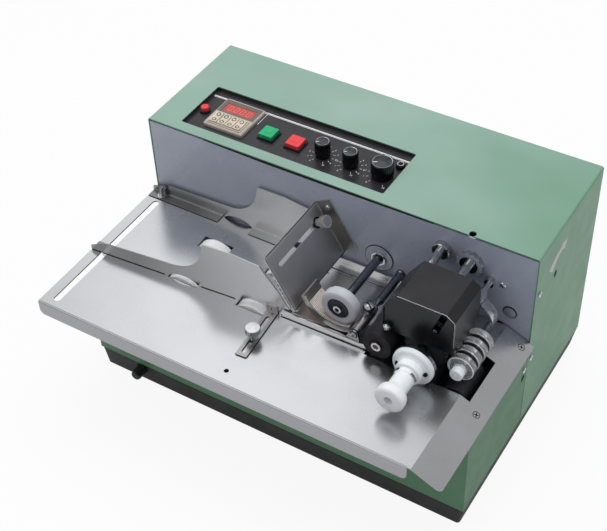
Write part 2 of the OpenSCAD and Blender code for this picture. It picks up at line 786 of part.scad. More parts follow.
module guide_section(tail) {
    difference() {
        union() {
            polygon(guide_outline);
            if (tail) square_from([200, 0], [rear_rail_end, rear_rail_h]);
        }
        translate(sweep_c) circle(sweep_r);
        for (x = feed_x) translate([x, feed_z - table_z]) circle(arch_r);
    }
}

module square_from(p, q) {
    translate(p) square(q - p);
}

// Flange of a guide in the stretches between the wheels
module guide_flange(tail) {
    stretches = concat([[-3, 88], [127, 171]], tail ? [[211, rear_rail_end]] : [[211, 221]]);
    for (s = stretches) translate([s[0], 0]) square([s[1] - s[0], flange_w]);
}

module front_guide() {
    color("#c4c4c6") place() translate([front_guide_at[0], front_guide_at[1], table_z + guide_lift])
        rotate(guide_skew) translate([4, 0, 0]) difference() {
            union() {
                along_y(-guide_t / 2, guide_t / 2) guide_section(false);
                linear_extrude(guide_t) guide_flange(false);
            }
            translate([11, 6, -1]) cylinder(r = guide_bolt_r + gap, h = 5);
            translate([strip_x - 4, 5, 5]) rotate([90, 0, 0]) cylinder(r = 1.6, h = 10);
        }
}

module guide_strip() {
    x0 = strip_x - 4 - strip_w / 2;
    color("#d2d2d5") place() translate([front_guide_at[0], front_guide_at[1], table_z + guide_lift])
        rotate(guide_skew) translate([4, 0, 0]) difference() {
            union() {
                linear_extrude(1.5) translate([x0, -strip_len - guide_t / 2])
                    round_rect([0, 0], [strip_w, strip_len], 1.5);
                block([x0, x0 + strip_w], [-2.1 - 0.3, -guide_t / 2], [0, 1.5]);
                along_y(-2.1, -guide_t / 2) round_rect([x0, 0], [x0 + strip_w, 9], 1.4);
            }
            linear_extrude(5, center = true)
                slot_2d(strip_x - 4, -strip_len + 3.5, -9, 4.6);
            translate([strip_x - 4, 5, 5]) rotate([90, 0, 0]) cylinder(r = 1.6, h = 10);
        }
}

// Clamp bolt of a guide, through the long slot of the table, with its nut below
module guide_bolt(top) {
    translate([0, 0, guide_t]) {
        cylinder(r = 5, h = 0.8);
        cylinder(r = 3.9, h = 4, $fn = 6);
        cylinder(r = guide_bolt_r, h = top - guide_t);
    }
    translate([0, 0, -table_t - 6]) cylinder(r = guide_bolt_r, h = table_t + 8);
    translate([0, 0, -table_t - 4.6]) cylinder(r = 6, h = 4.4);
}

module front_guide_bolt() {
    color("#c8c9cc") place() translate([front_guide_at[0], front_guide_at[1], table_z + guide_lift])
        rotate(guide_skew) translate([15, 6, 0]) guide_bolt(7);
}

module rear_guide() {
    color("#b4b4b6") place() translate([0, rear_guide_y, table_z]) difference() {
        union() {
            along_y(0, guide_t) guide_section(true);
            translate([0, guide_t, 0]) mirror([0, 1, 0]) linear_extrude(guide_t) guide_flange(true);
        }
        translate([rear_bolt_at[0], rear_bolt_at[1] - rear_guide_y, -1])
            cylinder(r = guide_bolt_r + gap, h = 5);
    }
}

module rear_guide_bolt() {
    color("#c8c9cc") place() translate([rear_bolt_at[0], rear_bolt_at[1], table_z]) guide_bolt(13);
}

module strip_thumbscrew() {
    p = strip_screw_at();
    color("#c9cacd") place() translate([p[0], p[1], table_z]) {
        knurled(7.7, 9.5, 16, 24);
        translate([0, 0, 1.9]) cylinder(r = 4.6, h = 8);
        translate([0, 0, -8]) cylinder(r = 2, h = 11);
    }
}

// Places a shape in the gate's frame
module gate_frame() {
    translate([gate_at[0], 0, gate_at[1]]) rotate([0, -gate_lean, 0]) children();
}

module gate_plate() {
    color("#77787d") place() gate_frame() difference() {
        union() {
            block([-gate_t, 0], gate_y, [0, gate_len]);
            block([-gate_t, gate_wing], [plate_y[0] - gate_t, plate_y[0]], [2, gate_len]);
            // perforated rib behind the front edge, with its foot turned out
            block([-5, -gate_t], [gate_y[0] + 0.5, gate_y[0] + 1.7], [1, 42]);
            block([-5, 2.5], [gate_y[0] + 1, gate_y[0] + 6], [-1.4, 0.2]);
        }
        along_x(-20, 20) {
            difference() {
                translate([gate_y[0] - 1, gate_len - 3]) square(4);
                translate([gate_y[0] + 3, gate_len - 3]) circle(3);
            }
            translate([0, gate_slot_z]) rotate(90)
                slot_2d(0, -gate_slot_y[1], -gate_slot_y[0], 5);
        }
        along_y(-200, -60) for (u = [4:5.2:36]) translate([-4.2, u]) square([1.9, 3.2]);
    }
}

module gate_nut() {
    color("#8c8d90") place() gate_frame() translate([0, gate_screw_y, gate_slot_z]) difference() {
        union() {
            block([-gate_t - 4.5, -gate_t - gap], [-7, 7], [-7, 7]);
            translate([-gate_t - 1, 0, 0]) rotate([0, 90, 0]) cylinder(r = 2.3, h = gate_t + 0.9);
        }
        rotate([0, 90, 0]) cylinder(r = 1.6, h = 30, center = true, $fn = 32);
    }
}

module gate_thumbscrew() {
    color("#8f9096") place() gate_frame() translate([0, gate_screw_y, gate_slot_z])
        rotate([0, 90, 0]) {
            knurled(6.6, 7, 13.4, 26);
            translate([0, 0, 0.15]) cylinder(r = 4.4, h = 7);
            translate([0, 0, -gate_t - 4]) cylinder(r = 1.5, h = 10);
        }
}

// Ring sector between two angles, as an x-z outline about c
module arc_band(c, r0, r1, a0, a1) {
    far = r1 * 3;
    mid = (a0 + a1) / 2;
    translate(c) intersection() {
        difference() {
            circle(r1, $fn = 96);
            circle(r0, $fn = 96);
        }
        polygon([[0, 0], polar(far, a0), polar(far, (a0 + mid) / 2), polar(far, mid),
            polar(far, (mid + a1) / 2), polar(far, a1)]);
    }
}

// Curved trough that presses the stack against the separating wheel, hinged on the rod
module friction_bracket() {
    r1 = trough_c[1] - table_z - 1.3;
    color("#9b9794") place() difference() {
        union() {
            along_y(-88, -60) arc_band(trough_c, r1 - 1.5, r1, 199.5, 297);
            along_y(-88, -86.8) arc_band(trough_c, r1 - 6, r1, 199.5, 297);
            along_y(-88, -60) polygon([[295, table_z + 5.4], [303, table_z + 8.2],
                [303, table_z + 12], [295, table_z + 7.2]]);
            bar(rod_c, 4.6, eye_y[0], eye_y[1]);
            bar(rod_c, 5.4, -88, -60);
            // clamp screw of the eye
            translate([rod_c[0] + 0.8, -66.5, rod_c[1] + 3]) {
                cylinder(r = 3, h = 5);
                translate([0, 0, 5]) pan_screw(4.3, 3.2);
            }
        }
        bar(rod_c, 2.2 + gap, -98, -50);
    }
}

module friction_pad() {
    r1 = trough_c[1] - table_z - 2.8;
    color("#a9745a") place() difference() {
        along_y(-86.6, -60.4) arc_band(trough_c, r1 - 0.9, r1, 202, 290);
        for (a = [202:4.5:288]) translate([trough_c[0], 0, trough_c[1]]) rotate([0, -a, 0])
            block([r1 - 2, r1 - 0.55], [-90, -50], [-0.5, 0.5]);
    }
}

module pivot_rod() {
    color("#5a5d62") place() turned(rod_c, [[0, -95.6], [2.2, -95.6], [2.2, -50], [3.4, -47],
        [4.4, -45], [4.4, -2.5], [5.2, -1.5], [5.2, plate_y[0]], [0, plate_y[0]]]);
}

// Shaft of a driven roller, from its front end to the inner frame
module drive_shaft(c, y0) {
    bar(c, shaft_r, y0, shaft_end);
}

module feed_shaft(x, side_pulley) {
    c = [x, feed_z];
    color("#b5b7ba") place() {
        drive_shaft(c, feed_y[0] - feed_wheel_w / 2 - 4);
        pulley(c, feed_link_r, plane_a);
        if (side_pulley) pulley(c, feed_pulley_r, plane_c);
    }
}

module feed_wheels(x) {
    w = feed_wheel_w / 2;
    r = feed_r;
    color("#e9e9e6") place() for (y = feed_y) difference() {
        turned([x, feed_z], [[0, y - w - 2], [9, y - w - 2], [9, y - w], [r - 5, y - w], [r - 1, y - w + 0.4],
            [r, y - w + 1.8], [r, y + w - 1.8], [r - 1, y + w - 0.4], [r - 5, y + w], [9, y + w],
            [9, y + w + 2], [0, y + w + 2]]);
        bar([x, feed_z], shaft_r, y - 20, y + 20);
    }
}

module feed_shaft_left() { feed_shaft(feed_x[0], false); }
module feed_shaft_right() { feed_shaft(feed_x[1], true); }
module feed_wheels_left() { feed_wheels(feed_x[0]); }
module feed_wheels_right() { feed_wheels(feed_x[1]); }

module separator_shaft() {
    color("#55585d") place() {
        difference() {
            turned(separator_c, [[0, -84], [3.9, -84], [4.4, -83.5], [4.4, -82], [4.5, -82],
                [4.5, -4], [shaft_r, -4], [shaft_r, shaft_end], [0, shaft_end]]);
            // hexagon socket of its end screw
            translate([separator_c[0], -85, separator_c[1]]) rotate([-90, 0, 0])
                cylinder(r = 2.3, h = 4, $fn = 6);
        }
        pulley(separator_c, separator_pulley_r, plane_c);
    }
}

module separator_wheel() {
    r = separator_r;
    color("#dcdce2") place() difference() {
        turned(separator_c, [[0, -81], [11.8, -81], [12, -82], [r - 3.2, -82], [r - 1, -81.2],
            [r, -79.2], [r, -72.8], [r - 1, -70.8], [r - 3.2, -70], [8, -70], [7, -67], [0, -67]]);
        bar(separator_c, 4.5, -90, -60);
    }
}

module pinch_roller() {
    r = pinch_r;
    color("#2b2b2e") place() {
        turned(pinch_c, [[0, -100.8], [5.4, -100.8], [5.4, -99.4], [7, -99.4], [8, -100], [r - 0.8, -100],
            [r, -99.2], [r, -54.8], [r - 0.8, -54], [7, -54], [7, -50], [shaft_r, -50],
            [shaft_r, shaft_end], [0, shaft_end]]);
        pulley(pinch_c, upper_pulley_r, plane_c);
        gear(pinch_c, upper_teeth, plane_a, 180 / upper_teeth);
    }
}

module lower_roller(c, r) {
    turned(c, [[0, roller_y[0] - 4], [shaft_r, roller_y[0] - 4], [shaft_r, roller_y[0]],
        [r - 0.6, roller_y[0]], [r, roller_y[0] + 0.6], [r, roller_y[1] - 0.6],
        [r - 0.6, roller_y[1]], [shaft_r, roller_y[1]], [shaft_r, shaft_end], [0, shaft_end]]);
}

module lower_pinch_roller() {
    color("#38383b") place() {
        lower_roller(lower_pinch_c, lower_pinch_r);
        gear(lower_pinch_c, lower_teeth, plane_a, 0);
        pulley(lower_pinch_c, motor_driven_r, plane_b);
        pulley(lower_pinch_c, pinch_pulley_r, plane_c);
        pulley(lower_pinch_c, pinch_pulley_r, plane_d);
    }
}

module impression_roller() {
    color("#3a3a3d") place() {
        lower_roller(impression_c, impression_r);
        pulley(impression_c, impression_pulley_r, plane_d);
        pulley(impression_c, impression_pulley_r, plane_c);
    }
}

module lower_exit_roller() {
    color("#3c3c3f") place() {
        lower_roller(lower_exit_c, lower_exit_r);
        pulley(lower_exit_c, exit_pulley_r, plane_c);
    }
}

module motor_pulley() {
    color("#9fa1a4") place() {
        bar(motor_c, shaft_r, 12, 58);
        pulley(motor_c, motor_pulley_r, plane_b);
    }
}

module print_shaft() {
    color("#232326") place() turned(print_c, [[0, -110], [6, -110], [6, -107.5], [21.4, -107.5],
        [21.4, -104], [8, -104], [8, -87], [6, -87], [6, -55], [7.5, -55], [7.5, -3],
        [shaft_r, -3], [shaft_r, shaft_end], [0, shaft_end]]);
}

// Drum with slots for the type, over its whole face
module type_roll() {
    r = type_r;
    color("#3a3c40") place() difference() {
        turned(print_c, [[0, -87], [r - 3, -87], [r - 3, -85.5], [r, -85.5], [r, -79.5], [r - 1.6, -79.5],
            [r - 1.6, -78], [r, -78], [r, -72], [r - 1.6, -72], [r - 1.6, -70.5], [r, -70.5],
            [r, -64.5], [r - 1.6, -64.5], [r - 1.6, -63], [r, -63], [r, -57], [r - 3, -57],
            [r - 3, -55], [0, -55]]);
        bar(print_c, 6, -90, -50);
        for (a = [0:15:345]) translate([print_c[0], 0, print_c[1]]) rotate([0, a + 7.5, 0])
            block([r - 1.6, r + 2], [-90, -50], [-0.9, 0.9]);
    }
}

// White hand knob: flange, hub, neck with a spring clip, and a cup at the end
module hand_knob() {
    color("#eceef1") place() difference() {
        turned(print_c, [[0, -158], [12.6, -158], [14.4, -157], [15, -155.2], [15, -151],
            [14.2, -148], [11.4, -145], [10, -141], [10, -127], [10.6, -127], [10.6, -124.6],
            [10, -124.6], [10.2, -122], [12.6, -121.6], [13.2, -120.8], [13.4, -114.6],
            [15.4, -112.8], [19.4, -112.4], [20.6, -111.6], [21, -110.4], [21, -107.5], [0, -107.5]]);
        bar(print_c, 6, -110, -100);
        bar(print_c, 4.6, -160, -149);
        for (s = [-1, 1]) bar(print_c + [14.4 * s, 0], 2, -120, -100);
    }
}

module ink_arm() {
    arm_t = 2;
    color("#2a2a2d") place() difference() {
        union() {
            bar(arm_post_c, 6.4, -84, -45);
            bar(ink_c, 2, -92, -44);
            for (y = [-84, -47]) along_y(y, y + arm_t) {
                translate(arm_post_c) circle(6.4);
                translate(ink_c) circle(5);
                polygon([arm_post_c + [1.4, 6.2], arm_post_c + [-1.4, -6.2], ink_c + [-1, -4.9],
                    ink_c + [1, 4.9]]);
            }
        }
        bar(arm_post_c, 4.5 + gap, -90, -40);
    }
}

module ink_roller() {
    color("#1f1f24") place() difference() {
        turned(ink_c, [[0, -80.5], [6, -80.5], [6, -79.5], [ink_r - 1, -79.5], [ink_r, -78.5],
            [ink_r, -51.5], [ink_r - 1, -50.5], [6, -50.5], [6, -49.5], [0, -49.5]]);
        bar(ink_c, 2 + gap, -90, -40);
    }
}

// Folded cover over the ink roller: open below, with a window for the ink axle
module ink_cover() {
    inner = inset(hood_outline, hood_t);
    foot = table_z + 45;
    color("#2c2b30") place() difference() {
        union() {
            along_y(hood_front, hood_rear) polygon(hood_outline);
            along_y(hood_front - hood_rim, hood_front + 0.5) difference() {
                polygon(hood_outline);
                polygon(inner);
                square_from([330, table_z + 20], [406, table_z + 40]);
            }
            bar(hood_screw_at, 4.4, hood_front - hood_boss, hood_front + 0.5);
        }
        along_y(hood_front + hood_t, hood_rear - hood_t) polygon(inner);
        // open underneath, and a short rear wall
        block([331.7, 403.8], [hood_front + hood_t, hood_rear - hood_t], [table_z + 25, table_z + 50]);
        along_x(320, 420) polygon([[hood_front + hood_t, table_z + 20],
            [hood_rear + 1, table_z + 20], [hood_rear + 1, foot]]);
        block([320, 420], [hood_rear - hood_t - 1, hood_rear + 1], [table_z + 20, foot]);
        // window for the ink axle
        along_y(hood_front - 1, hood_front + 2) {
            hood_slot = 7;
            translate([385.2, table_z + 55.5]) rotate(-19.7) slot_2d(0, -3.5, 28.5, hood_slot);
        }
        bar(arm_post_c, 7, hood_rear - 3, hood_rear + 2);
    }
}

// Posts that stand on the front plate: ink arm, ink cover with its serrated nut, exit arm
module panel_posts() {
    color("#b9bbc0") place() {
        turned(arm_post_c, [[0, -86], [4, -86], [4.5, -85.5], [4.5, -6.5], [8.6, -6.5], [9.5, -5.6],
            [9.5, plate_y[0]], [0, plate_y[0]]]);
        turned(hood_post_c, [[0, hood_rear], [4.9, hood_rear], [4.9, -6], [9.5, -6], [9.5, plate_y[0]],
            [0, plate_y[0]]]);
        difference() {
            bar(hood_post_c, 13.7, -4.5, plate_y[0]);
            for (a = [0:30:330]) bar(hood_post_c + polar(14.6, a), 2.4, -10, 5);
        }
        turned(exit_post_c, [[0, -35.4], [4.2, -35.4], [5, -34.6], [5, -32.4], [3, -32.4], [3, -6],
            [5, -6], [5, plate_y[0]], [0, plate_y[0]]]);
    }
}

module exit_arm() {
    leaf_c = exit_c + [-14, 12.5];
    leaf_y = [-32, -20];
    color("#c3c6ca") place() difference() {
        union() {
            along_y(leaf_y[0], leaf_y[1]) {
                arc_band(leaf_c, 19.9, 21.1, -48, 76);
                translate(exit_post_c) circle(5.6);
                translate(exit_c) circle(4.4);
                polygon([exit_post_c + [2, -5], exit_post_c + [5, -2.4], exit_post_c + [5.5, -5.6]]);
                polygon([exit_c + [0, -3.8], exit_c + [1, 3.6], leaf_c + polar(20.6, -28),
                    leaf_c + polar(20.6, -44)]);
            }
            bar(exit_c, 2.2, -92, leaf_y[1]);
        }
        bar(exit_post_c, 3 + gap, -40, -10);
    }
}

// Clear discs on one hub, with a white cap in front
module exit_roller() {
    r = exit_r;
    gap_r = 9;
    disc_w = 8.6;
    pitch = 12.2;
    y0 = -85;
    color("#d9dde2") place() difference() {
        union() {
            for (i = [0:3]) {
                y = y0 + i * pitch;
                turned(exit_c, [[0, y], [r - 1.4, y], [r, y + 1.4], [r, y + disc_w - 1.4],
                    [r - 1.4, y + disc_w], [0, y + disc_w]]);
            }
            bar(exit_c, gap_r, y0, y0 + 3 * pitch + 1);
            turned(exit_c, [[0, -95], [5.6, -95], [6.4, -94.2], [6.4, -86], [0, -86]]);
            bar(exit_c, 7.6, -88, -84);
        }
        bar(exit_c, 2.2 + gap, -92.5, -30);
    }
}

base_tray();
rubber_feet();
rear_cover();
front_box();
front_plate();
machine_screws();
panel_plate();
counter_case();
button_bezels();
worktable();
separator_plate();
inner_frame();
bearings();
gear_motor();
control_board();
mains_inlet();
pivot_rod();
panel_posts();
ink_cover();
plastic_caps();
gate_plate();
drive_belts();
start_button();
stop_button();
reset_button();
timing_knob();
position_knob();
speed_knob();
counter_key_1();
counter_key_2();
counter_key_3();
counter_key_4();
front_guide();
guide_strip();
front_guide_bolt();
rear_guide();
rear_guide_bolt();
strip_thumbscrew();
gate_nut();
gate_thumbscrew();
friction_bracket();
friction_pad();
feed_shaft_left();
feed_wheels_left();
feed_shaft_right();
feed_wheels_right();
separator_shaft();
separator_wheel();
pinch_roller();
lower_pinch_roller();
print_shaft();
type_roll();
hand_knob();
impression_roller();
ink_arm();
ink_roller();
exit_arm();
exit_roller();
lower_exit_roller();
motor_pulley();
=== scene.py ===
import json
import math

import bmesh
import bpy
from mathutils import Matrix, Vector


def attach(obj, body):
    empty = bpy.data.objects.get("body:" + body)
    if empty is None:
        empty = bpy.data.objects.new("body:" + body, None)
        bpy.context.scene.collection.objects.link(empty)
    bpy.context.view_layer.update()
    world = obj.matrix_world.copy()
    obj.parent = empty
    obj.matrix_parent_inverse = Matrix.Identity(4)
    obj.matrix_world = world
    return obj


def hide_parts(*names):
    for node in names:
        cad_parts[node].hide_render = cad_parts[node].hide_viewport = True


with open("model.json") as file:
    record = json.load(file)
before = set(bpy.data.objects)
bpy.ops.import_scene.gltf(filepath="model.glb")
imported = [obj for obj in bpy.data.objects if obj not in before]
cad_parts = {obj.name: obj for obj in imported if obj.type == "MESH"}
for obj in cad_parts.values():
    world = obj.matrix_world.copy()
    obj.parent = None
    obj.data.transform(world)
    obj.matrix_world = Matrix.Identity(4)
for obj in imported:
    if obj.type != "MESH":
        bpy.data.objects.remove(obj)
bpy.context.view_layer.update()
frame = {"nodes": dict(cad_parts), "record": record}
nodes = frame["nodes"]
mm = 0.001
# places on the cabinet in mm: x from its left side, y from its front plate, z from the floor
cabinet = {
    "corner": (-223.25, 23.5),  # where x 0 and y 0 lie in the frame
    "width": 445,
    "depth": 154,
    "panelTop": 253.3,
    "tableTop": 160,
}
panelTop = cabinet["panelTop"]
tableTop = cabinet["tableTop"]
print("frame loaded:", len(nodes), "nodes")


def at(x, y, z):
    return Vector(((x + cabinet["corner"][0]) * mm, (y + cabinet["corner"][1]) * mm, z * mm))


# the camera, solved from the straight edges of the cabinet and the table
camera = {
    "place": (0.49874, -0.79278, 1.06463),
    "turn": (46.237, 1.966, 31.385),
    "lens": 75.5,
    "sensor": 36,
    "sees": 30,
}
camData = bpy.data.cameras.new("camera")
camData.lens = camera["lens"]
camData.sensor_width = camera["sensor"]
camData.clip_end = camera["sees"]
cam = bpy.data.objects.new("camera", camData)
cam.location = camera["place"]
cam.rotation_euler = [math.radians(a) for a in camera["turn"]]
bpy.context.scene.collection.objects.link(cam)
bpy.context.scene.camera = cam
print("camera set")


def linear(hexColour):
    parts = [int(hexColour[i:i + 2], 16) / 255 for i in (0, 2, 4)]
    return tuple(p / 12.92 if p < 0.04045 else ((p + 0.055) / 1.055) ** 2.4 for p in parts) + (1,)


# adds a node with its settings, values of inputs, colour stops and links
def addNode(tree, kind, settings=None, links=None):
    made = tree.nodes.new(kind)
    for key, value in (settings or {}).items():
        if key == "stops":
            for stop, (position, hexColour) in zip(made.color_ramp.elements, value):
                stop.position = position
                stop.color = linear(hexColour)
        elif isinstance(key, int) or key in made.inputs:
            made.inputs[key].default_value = value
        else:
            setattr(made, key, value)
    for key, socket in (links or {}).items():
        tree.links.new(socket, made.inputs[key])
    return made


def startMaterial(name, **sockets):
    material = bpy.data.materials.new(name)
    material.use_nodes = True
    tree = material.node_tree
    shader = tree.nodes["Principled BSDF"]
    for key, value in sockets.items():
        shader.inputs[key.replace("_", " ")].default_value = value
    place = addNode(tree, "ShaderNodeTexCoord").outputs["Object"]
    return material, tree, shader, place


# noise gathers about 0.5: two tones part at the stops, and other values take up the span
noiseStops = (0.25, 0.75)
noiseSpan = (0.3, 0.7)


# noise whose cells have the given size in millimetres along each axis
def grain(tree, place, sizes, detail=2, rough=0.5):
    scaled = addNode(tree, "ShaderNodeMapping", {"Scale": [1 / (s * mm) for s in sizes]},
                     {"Vector": place})
    return addNode(tree, "ShaderNodeTexNoise",
                   {"Scale": 1, "Detail": detail, "Roughness": rough},
                   {"Vector": scaled.outputs[0]}).outputs[0]


# what most finishes share: the colour drifts between two tones, the gloss drifts in patches of
# its own or with the colour, and a finer grain stands in relief; each grain is (cells, detail)
def drift(tree, shader, place, tones, toneGrain, gloss=None, glossGrain=None, relief=0,
          reliefGrain=None):
    tone = grain(tree, place, *toneGrain)
    colour = addNode(tree, "ShaderNodeValToRGB", {"stops": zip(noiseStops, tones)},
                     {"Fac": tone}).outputs[0]
    tree.links.new(colour, shader.inputs["Base Color"])
    if gloss:
        patches = grain(tree, place, *glossGrain) if glossGrain else tone
        roughness = addNode(tree, "ShaderNodeMapRange",
                            {"From Min": noiseSpan[0], "From Max": noiseSpan[1],
                             "To Min": gloss[0], "To Max": gloss[1]}, {"Value": patches})
        tree.links.new(roughness.outputs[0], shader.inputs["Roughness"])
    if relief:
        bump = addNode(tree, "ShaderNodeBump", {"Strength": 1.0, "Distance": relief * mm},
                       {"Height": grain(tree, place, *reliefGrain)})
        tree.links.new(bump.outputs[0], shader.inputs["Normal"])
    return colour


# baked enamel on sheet steel: the spray leaves a faint orange peel of 1 to 2 mm, so highlights
# break up; a painted sheen greys what faces up, and thins towards the right end
paintedSheen = {
    "colour": "cbd9de",
    "cloud": (140, 90, 90),  # mm
    "thickness": (0.75, 1.2),  # from the thin to the thick of the cloud
    "facingUp": (0.4, 0.95),  # from a steep face to a level one
    "thinning": (0.06, 0.22),  # m along x, towards the right end
    "left": (1, 0.5),  # what lies before and after it
}


def enamel(name, dark, light, rough=0.36, peel=2.2, height=0.012, coat=0.25, sheen=0.0):
    material, tree, shader, place = startMaterial(name, IOR=1.5, Coat_Weight=coat,
                                                  Coat_Roughness=0.12)
    colour = drift(tree, shader, place, (dark, light), ((70, 70, 70), 3),
                   (rough - 0.05, rough + 0.05), ((25, 25, 25), 4), height,
                   ((peel, peel, peel),))
    if sheen:
        normal = addNode(tree, "ShaderNodeNewGeometry").outputs["Normal"]
        upward = addNode(tree, "ShaderNodeSeparateXYZ", {}, {"Vector": normal}).outputs["Z"]
        along = addNode(tree, "ShaderNodeSeparateXYZ", {}, {"Vector": place}).outputs["X"]
        cloud = grain(tree, place, paintedSheen["cloud"])
        shares = []
        for value, (low, high), (least, most) in ((cloud, noiseSpan, paintedSheen["thickness"]),
                                                  (upward, paintedSheen["facingUp"], (0, sheen)),
                                                  (along, paintedSheen["thinning"], paintedSheen["left"])):
            shares.append(addNode(tree, "ShaderNodeMapRange",
                                  {"From Min": low, "From Max": high, "To Min": least,
                                   "To Max": most}, {"Value": value}).outputs[0])
        both = addNode(tree, "ShaderNodeMath", {"operation": "MULTIPLY"},
                       {0: shares[0], 1: shares[1]}).outputs[0]
        amount = addNode(tree, "ShaderNodeMath", {"operation": "MULTIPLY"},
                         {0: both, 1: shares[2]}).outputs[0]
        sheened = addNode(tree, "ShaderNodeMix",
                        {"data_type": "RGBA", 7: linear(paintedSheen["colour"])},
                        {0: amount, 6: colour})
        tree.links.new(sheened.outputs[2], shader.inputs["Base Color"])
    return material


# stainless sheet, belt-brushed: long fine scratches smear reflections across their length;
# they are 0.1 mm wide, and drawn at 1 mm so that they show. Upright faces, such as the
# table's folded lip, carry a painted shade, greyer than the flat, and the guides' sheet
# grows darker towards its left end
brushing = {
    "patch": (60, 42, 60),  # mm, where the belt pressed harder
    "scratches": 0.05,  # their share in the tone, beside the patches
    "level": 0.89,  # brings the sum to the middle between the two tones
    "span": (0.25, 0.8),  # of the sum, over which the gloss changes
    "folded": (0.15, 0.8),  # from an upright face to a flat one
    "leftDarkening": (-0.17, 0.0),  # m along x, from the darker left end to the rest
}


def brushed(name, dark, light, rough=0.3, along=(220, 1.0, 220), height=0.0001, edge=None,
            dull=None):
    material, tree, shader, place = startMaterial(name, Metallic=1.0)
    scratches = grain(tree, place, along, 3, 0.6)
    total = addNode(tree, "ShaderNodeMath",
                    {"operation": "MULTIPLY_ADD", 1: brushing["scratches"]},
                    {0: scratches, 2: grain(tree, place, brushing["patch"], 3)}).outputs[0]
    tone = addNode(tree, "ShaderNodeMath", {"operation": "MULTIPLY", 1: brushing["level"]},
                   {0: total}).outputs[0]
    colour = addNode(tree, "ShaderNodeValToRGB", {"stops": zip(noiseStops, (dark, light))},
                     {"Fac": tone}).outputs[0]
    others = []
    # edge is the colour of a painted shade on upright faces
    if edge:
        normal = addNode(tree, "ShaderNodeNewGeometry").outputs["Normal"]
        others.append((edge, normal, "Z", brushing["folded"]))
    if dull:
        others.append((dull, place, "X", brushing["leftDarkening"]))
    for other, source, axis, (low, high) in others:
        measure = addNode(tree, "ShaderNodeSeparateXYZ", {}, {"Vector": source}).outputs[axis]
        share = addNode(tree, "ShaderNodeMapRange", {"From Min": low, "From Max": high},
                        {"Value": measure}).outputs[0]
        colour = addNode(tree, "ShaderNodeMix", {"data_type": "RGBA", 6: linear(other)},
                         {0: share, 7: colour}).outputs[2]
    roughness = addNode(tree, "ShaderNodeMapRange",
                        {"From Min": brushing["span"][0], "From Max": brushing["span"][1],
                         "To Min": rough - 0.04, "To Max": rough + 0.05}, {"Value": total})
    bump = addNode(tree, "ShaderNodeBump", {"Strength": 1.0, "Distance": height * mm},
                   {"Height": scratches})
    tree.links.new(colour, shader.inputs["Base Color"])
    tree.links.new(roughness.outputs[0], shader.inputs["Roughness"])
    tree.links.new(bump.outputs[0], shader.inputs["Normal"])
    return material


# turned or plated metal: nearly a mirror, clouded a little by handling
def polished(name, dark, light, rough=0.16, cell=5):
    material, tree, shader, place = startMaterial(name, Metallic=1.0)
    drift(tree, shader, place, (dark, light), ((cell, cell, cell), 3),
          (rough - 0.04, rough + 0.05))
    return material


# moulded plastic or rubber: a spark-eroded tool leaves an even grain that softens highlights;
# it is about 0.1 mm, and drawn at 0.7 mm so that it shows
def moulded(name, dark, light, rough=0.35, **extra):
    material, tree, shader, place = startMaterial(name, IOR=1.46, **extra)
    drift(tree, shader, place, (dark, light), ((14, 14, 14), 3), (rough - 0.05, rough + 0.06),
          ((9, 9, 9), 3), 0.004, ((0.7, 0.7, 0.7),))
    return material


# clear acrylic: light goes through, and the polish is uneven, so the edges glint
def acrylic(name, tone):
    material, tree, shader, place = startMaterial(name, IOR=1.49, Transmission_Weight=0.8)
    drift(tree, shader, place, (tone, tone), ((8, 8, 8),), (0.02, 0.09), ((6, 6, 6), 3))
    return material


# screen-printed epoxy ink: flat white, a touch uneven where the squeegee ran thin
def printedInk(name, dark, light):
    material, tree, shader, place = startMaterial(name, IOR=1.5, Roughness=0.55)
    drift(tree, shader, place, (dark, light), ((3, 3, 3), 3))
    return material


# light from a display behind a red filter: it glows without lighting what stands round it
def litSegment(name, tone, strength):
    material, tree, shader, place = startMaterial(name, Roughness=0.4, Emission_Strength=strength)
    colour = drift(tree, shader, place, (tone, tone), ((4, 4, 4),))
    tree.links.new(colour, shader.inputs["Emission Color"])
    return material


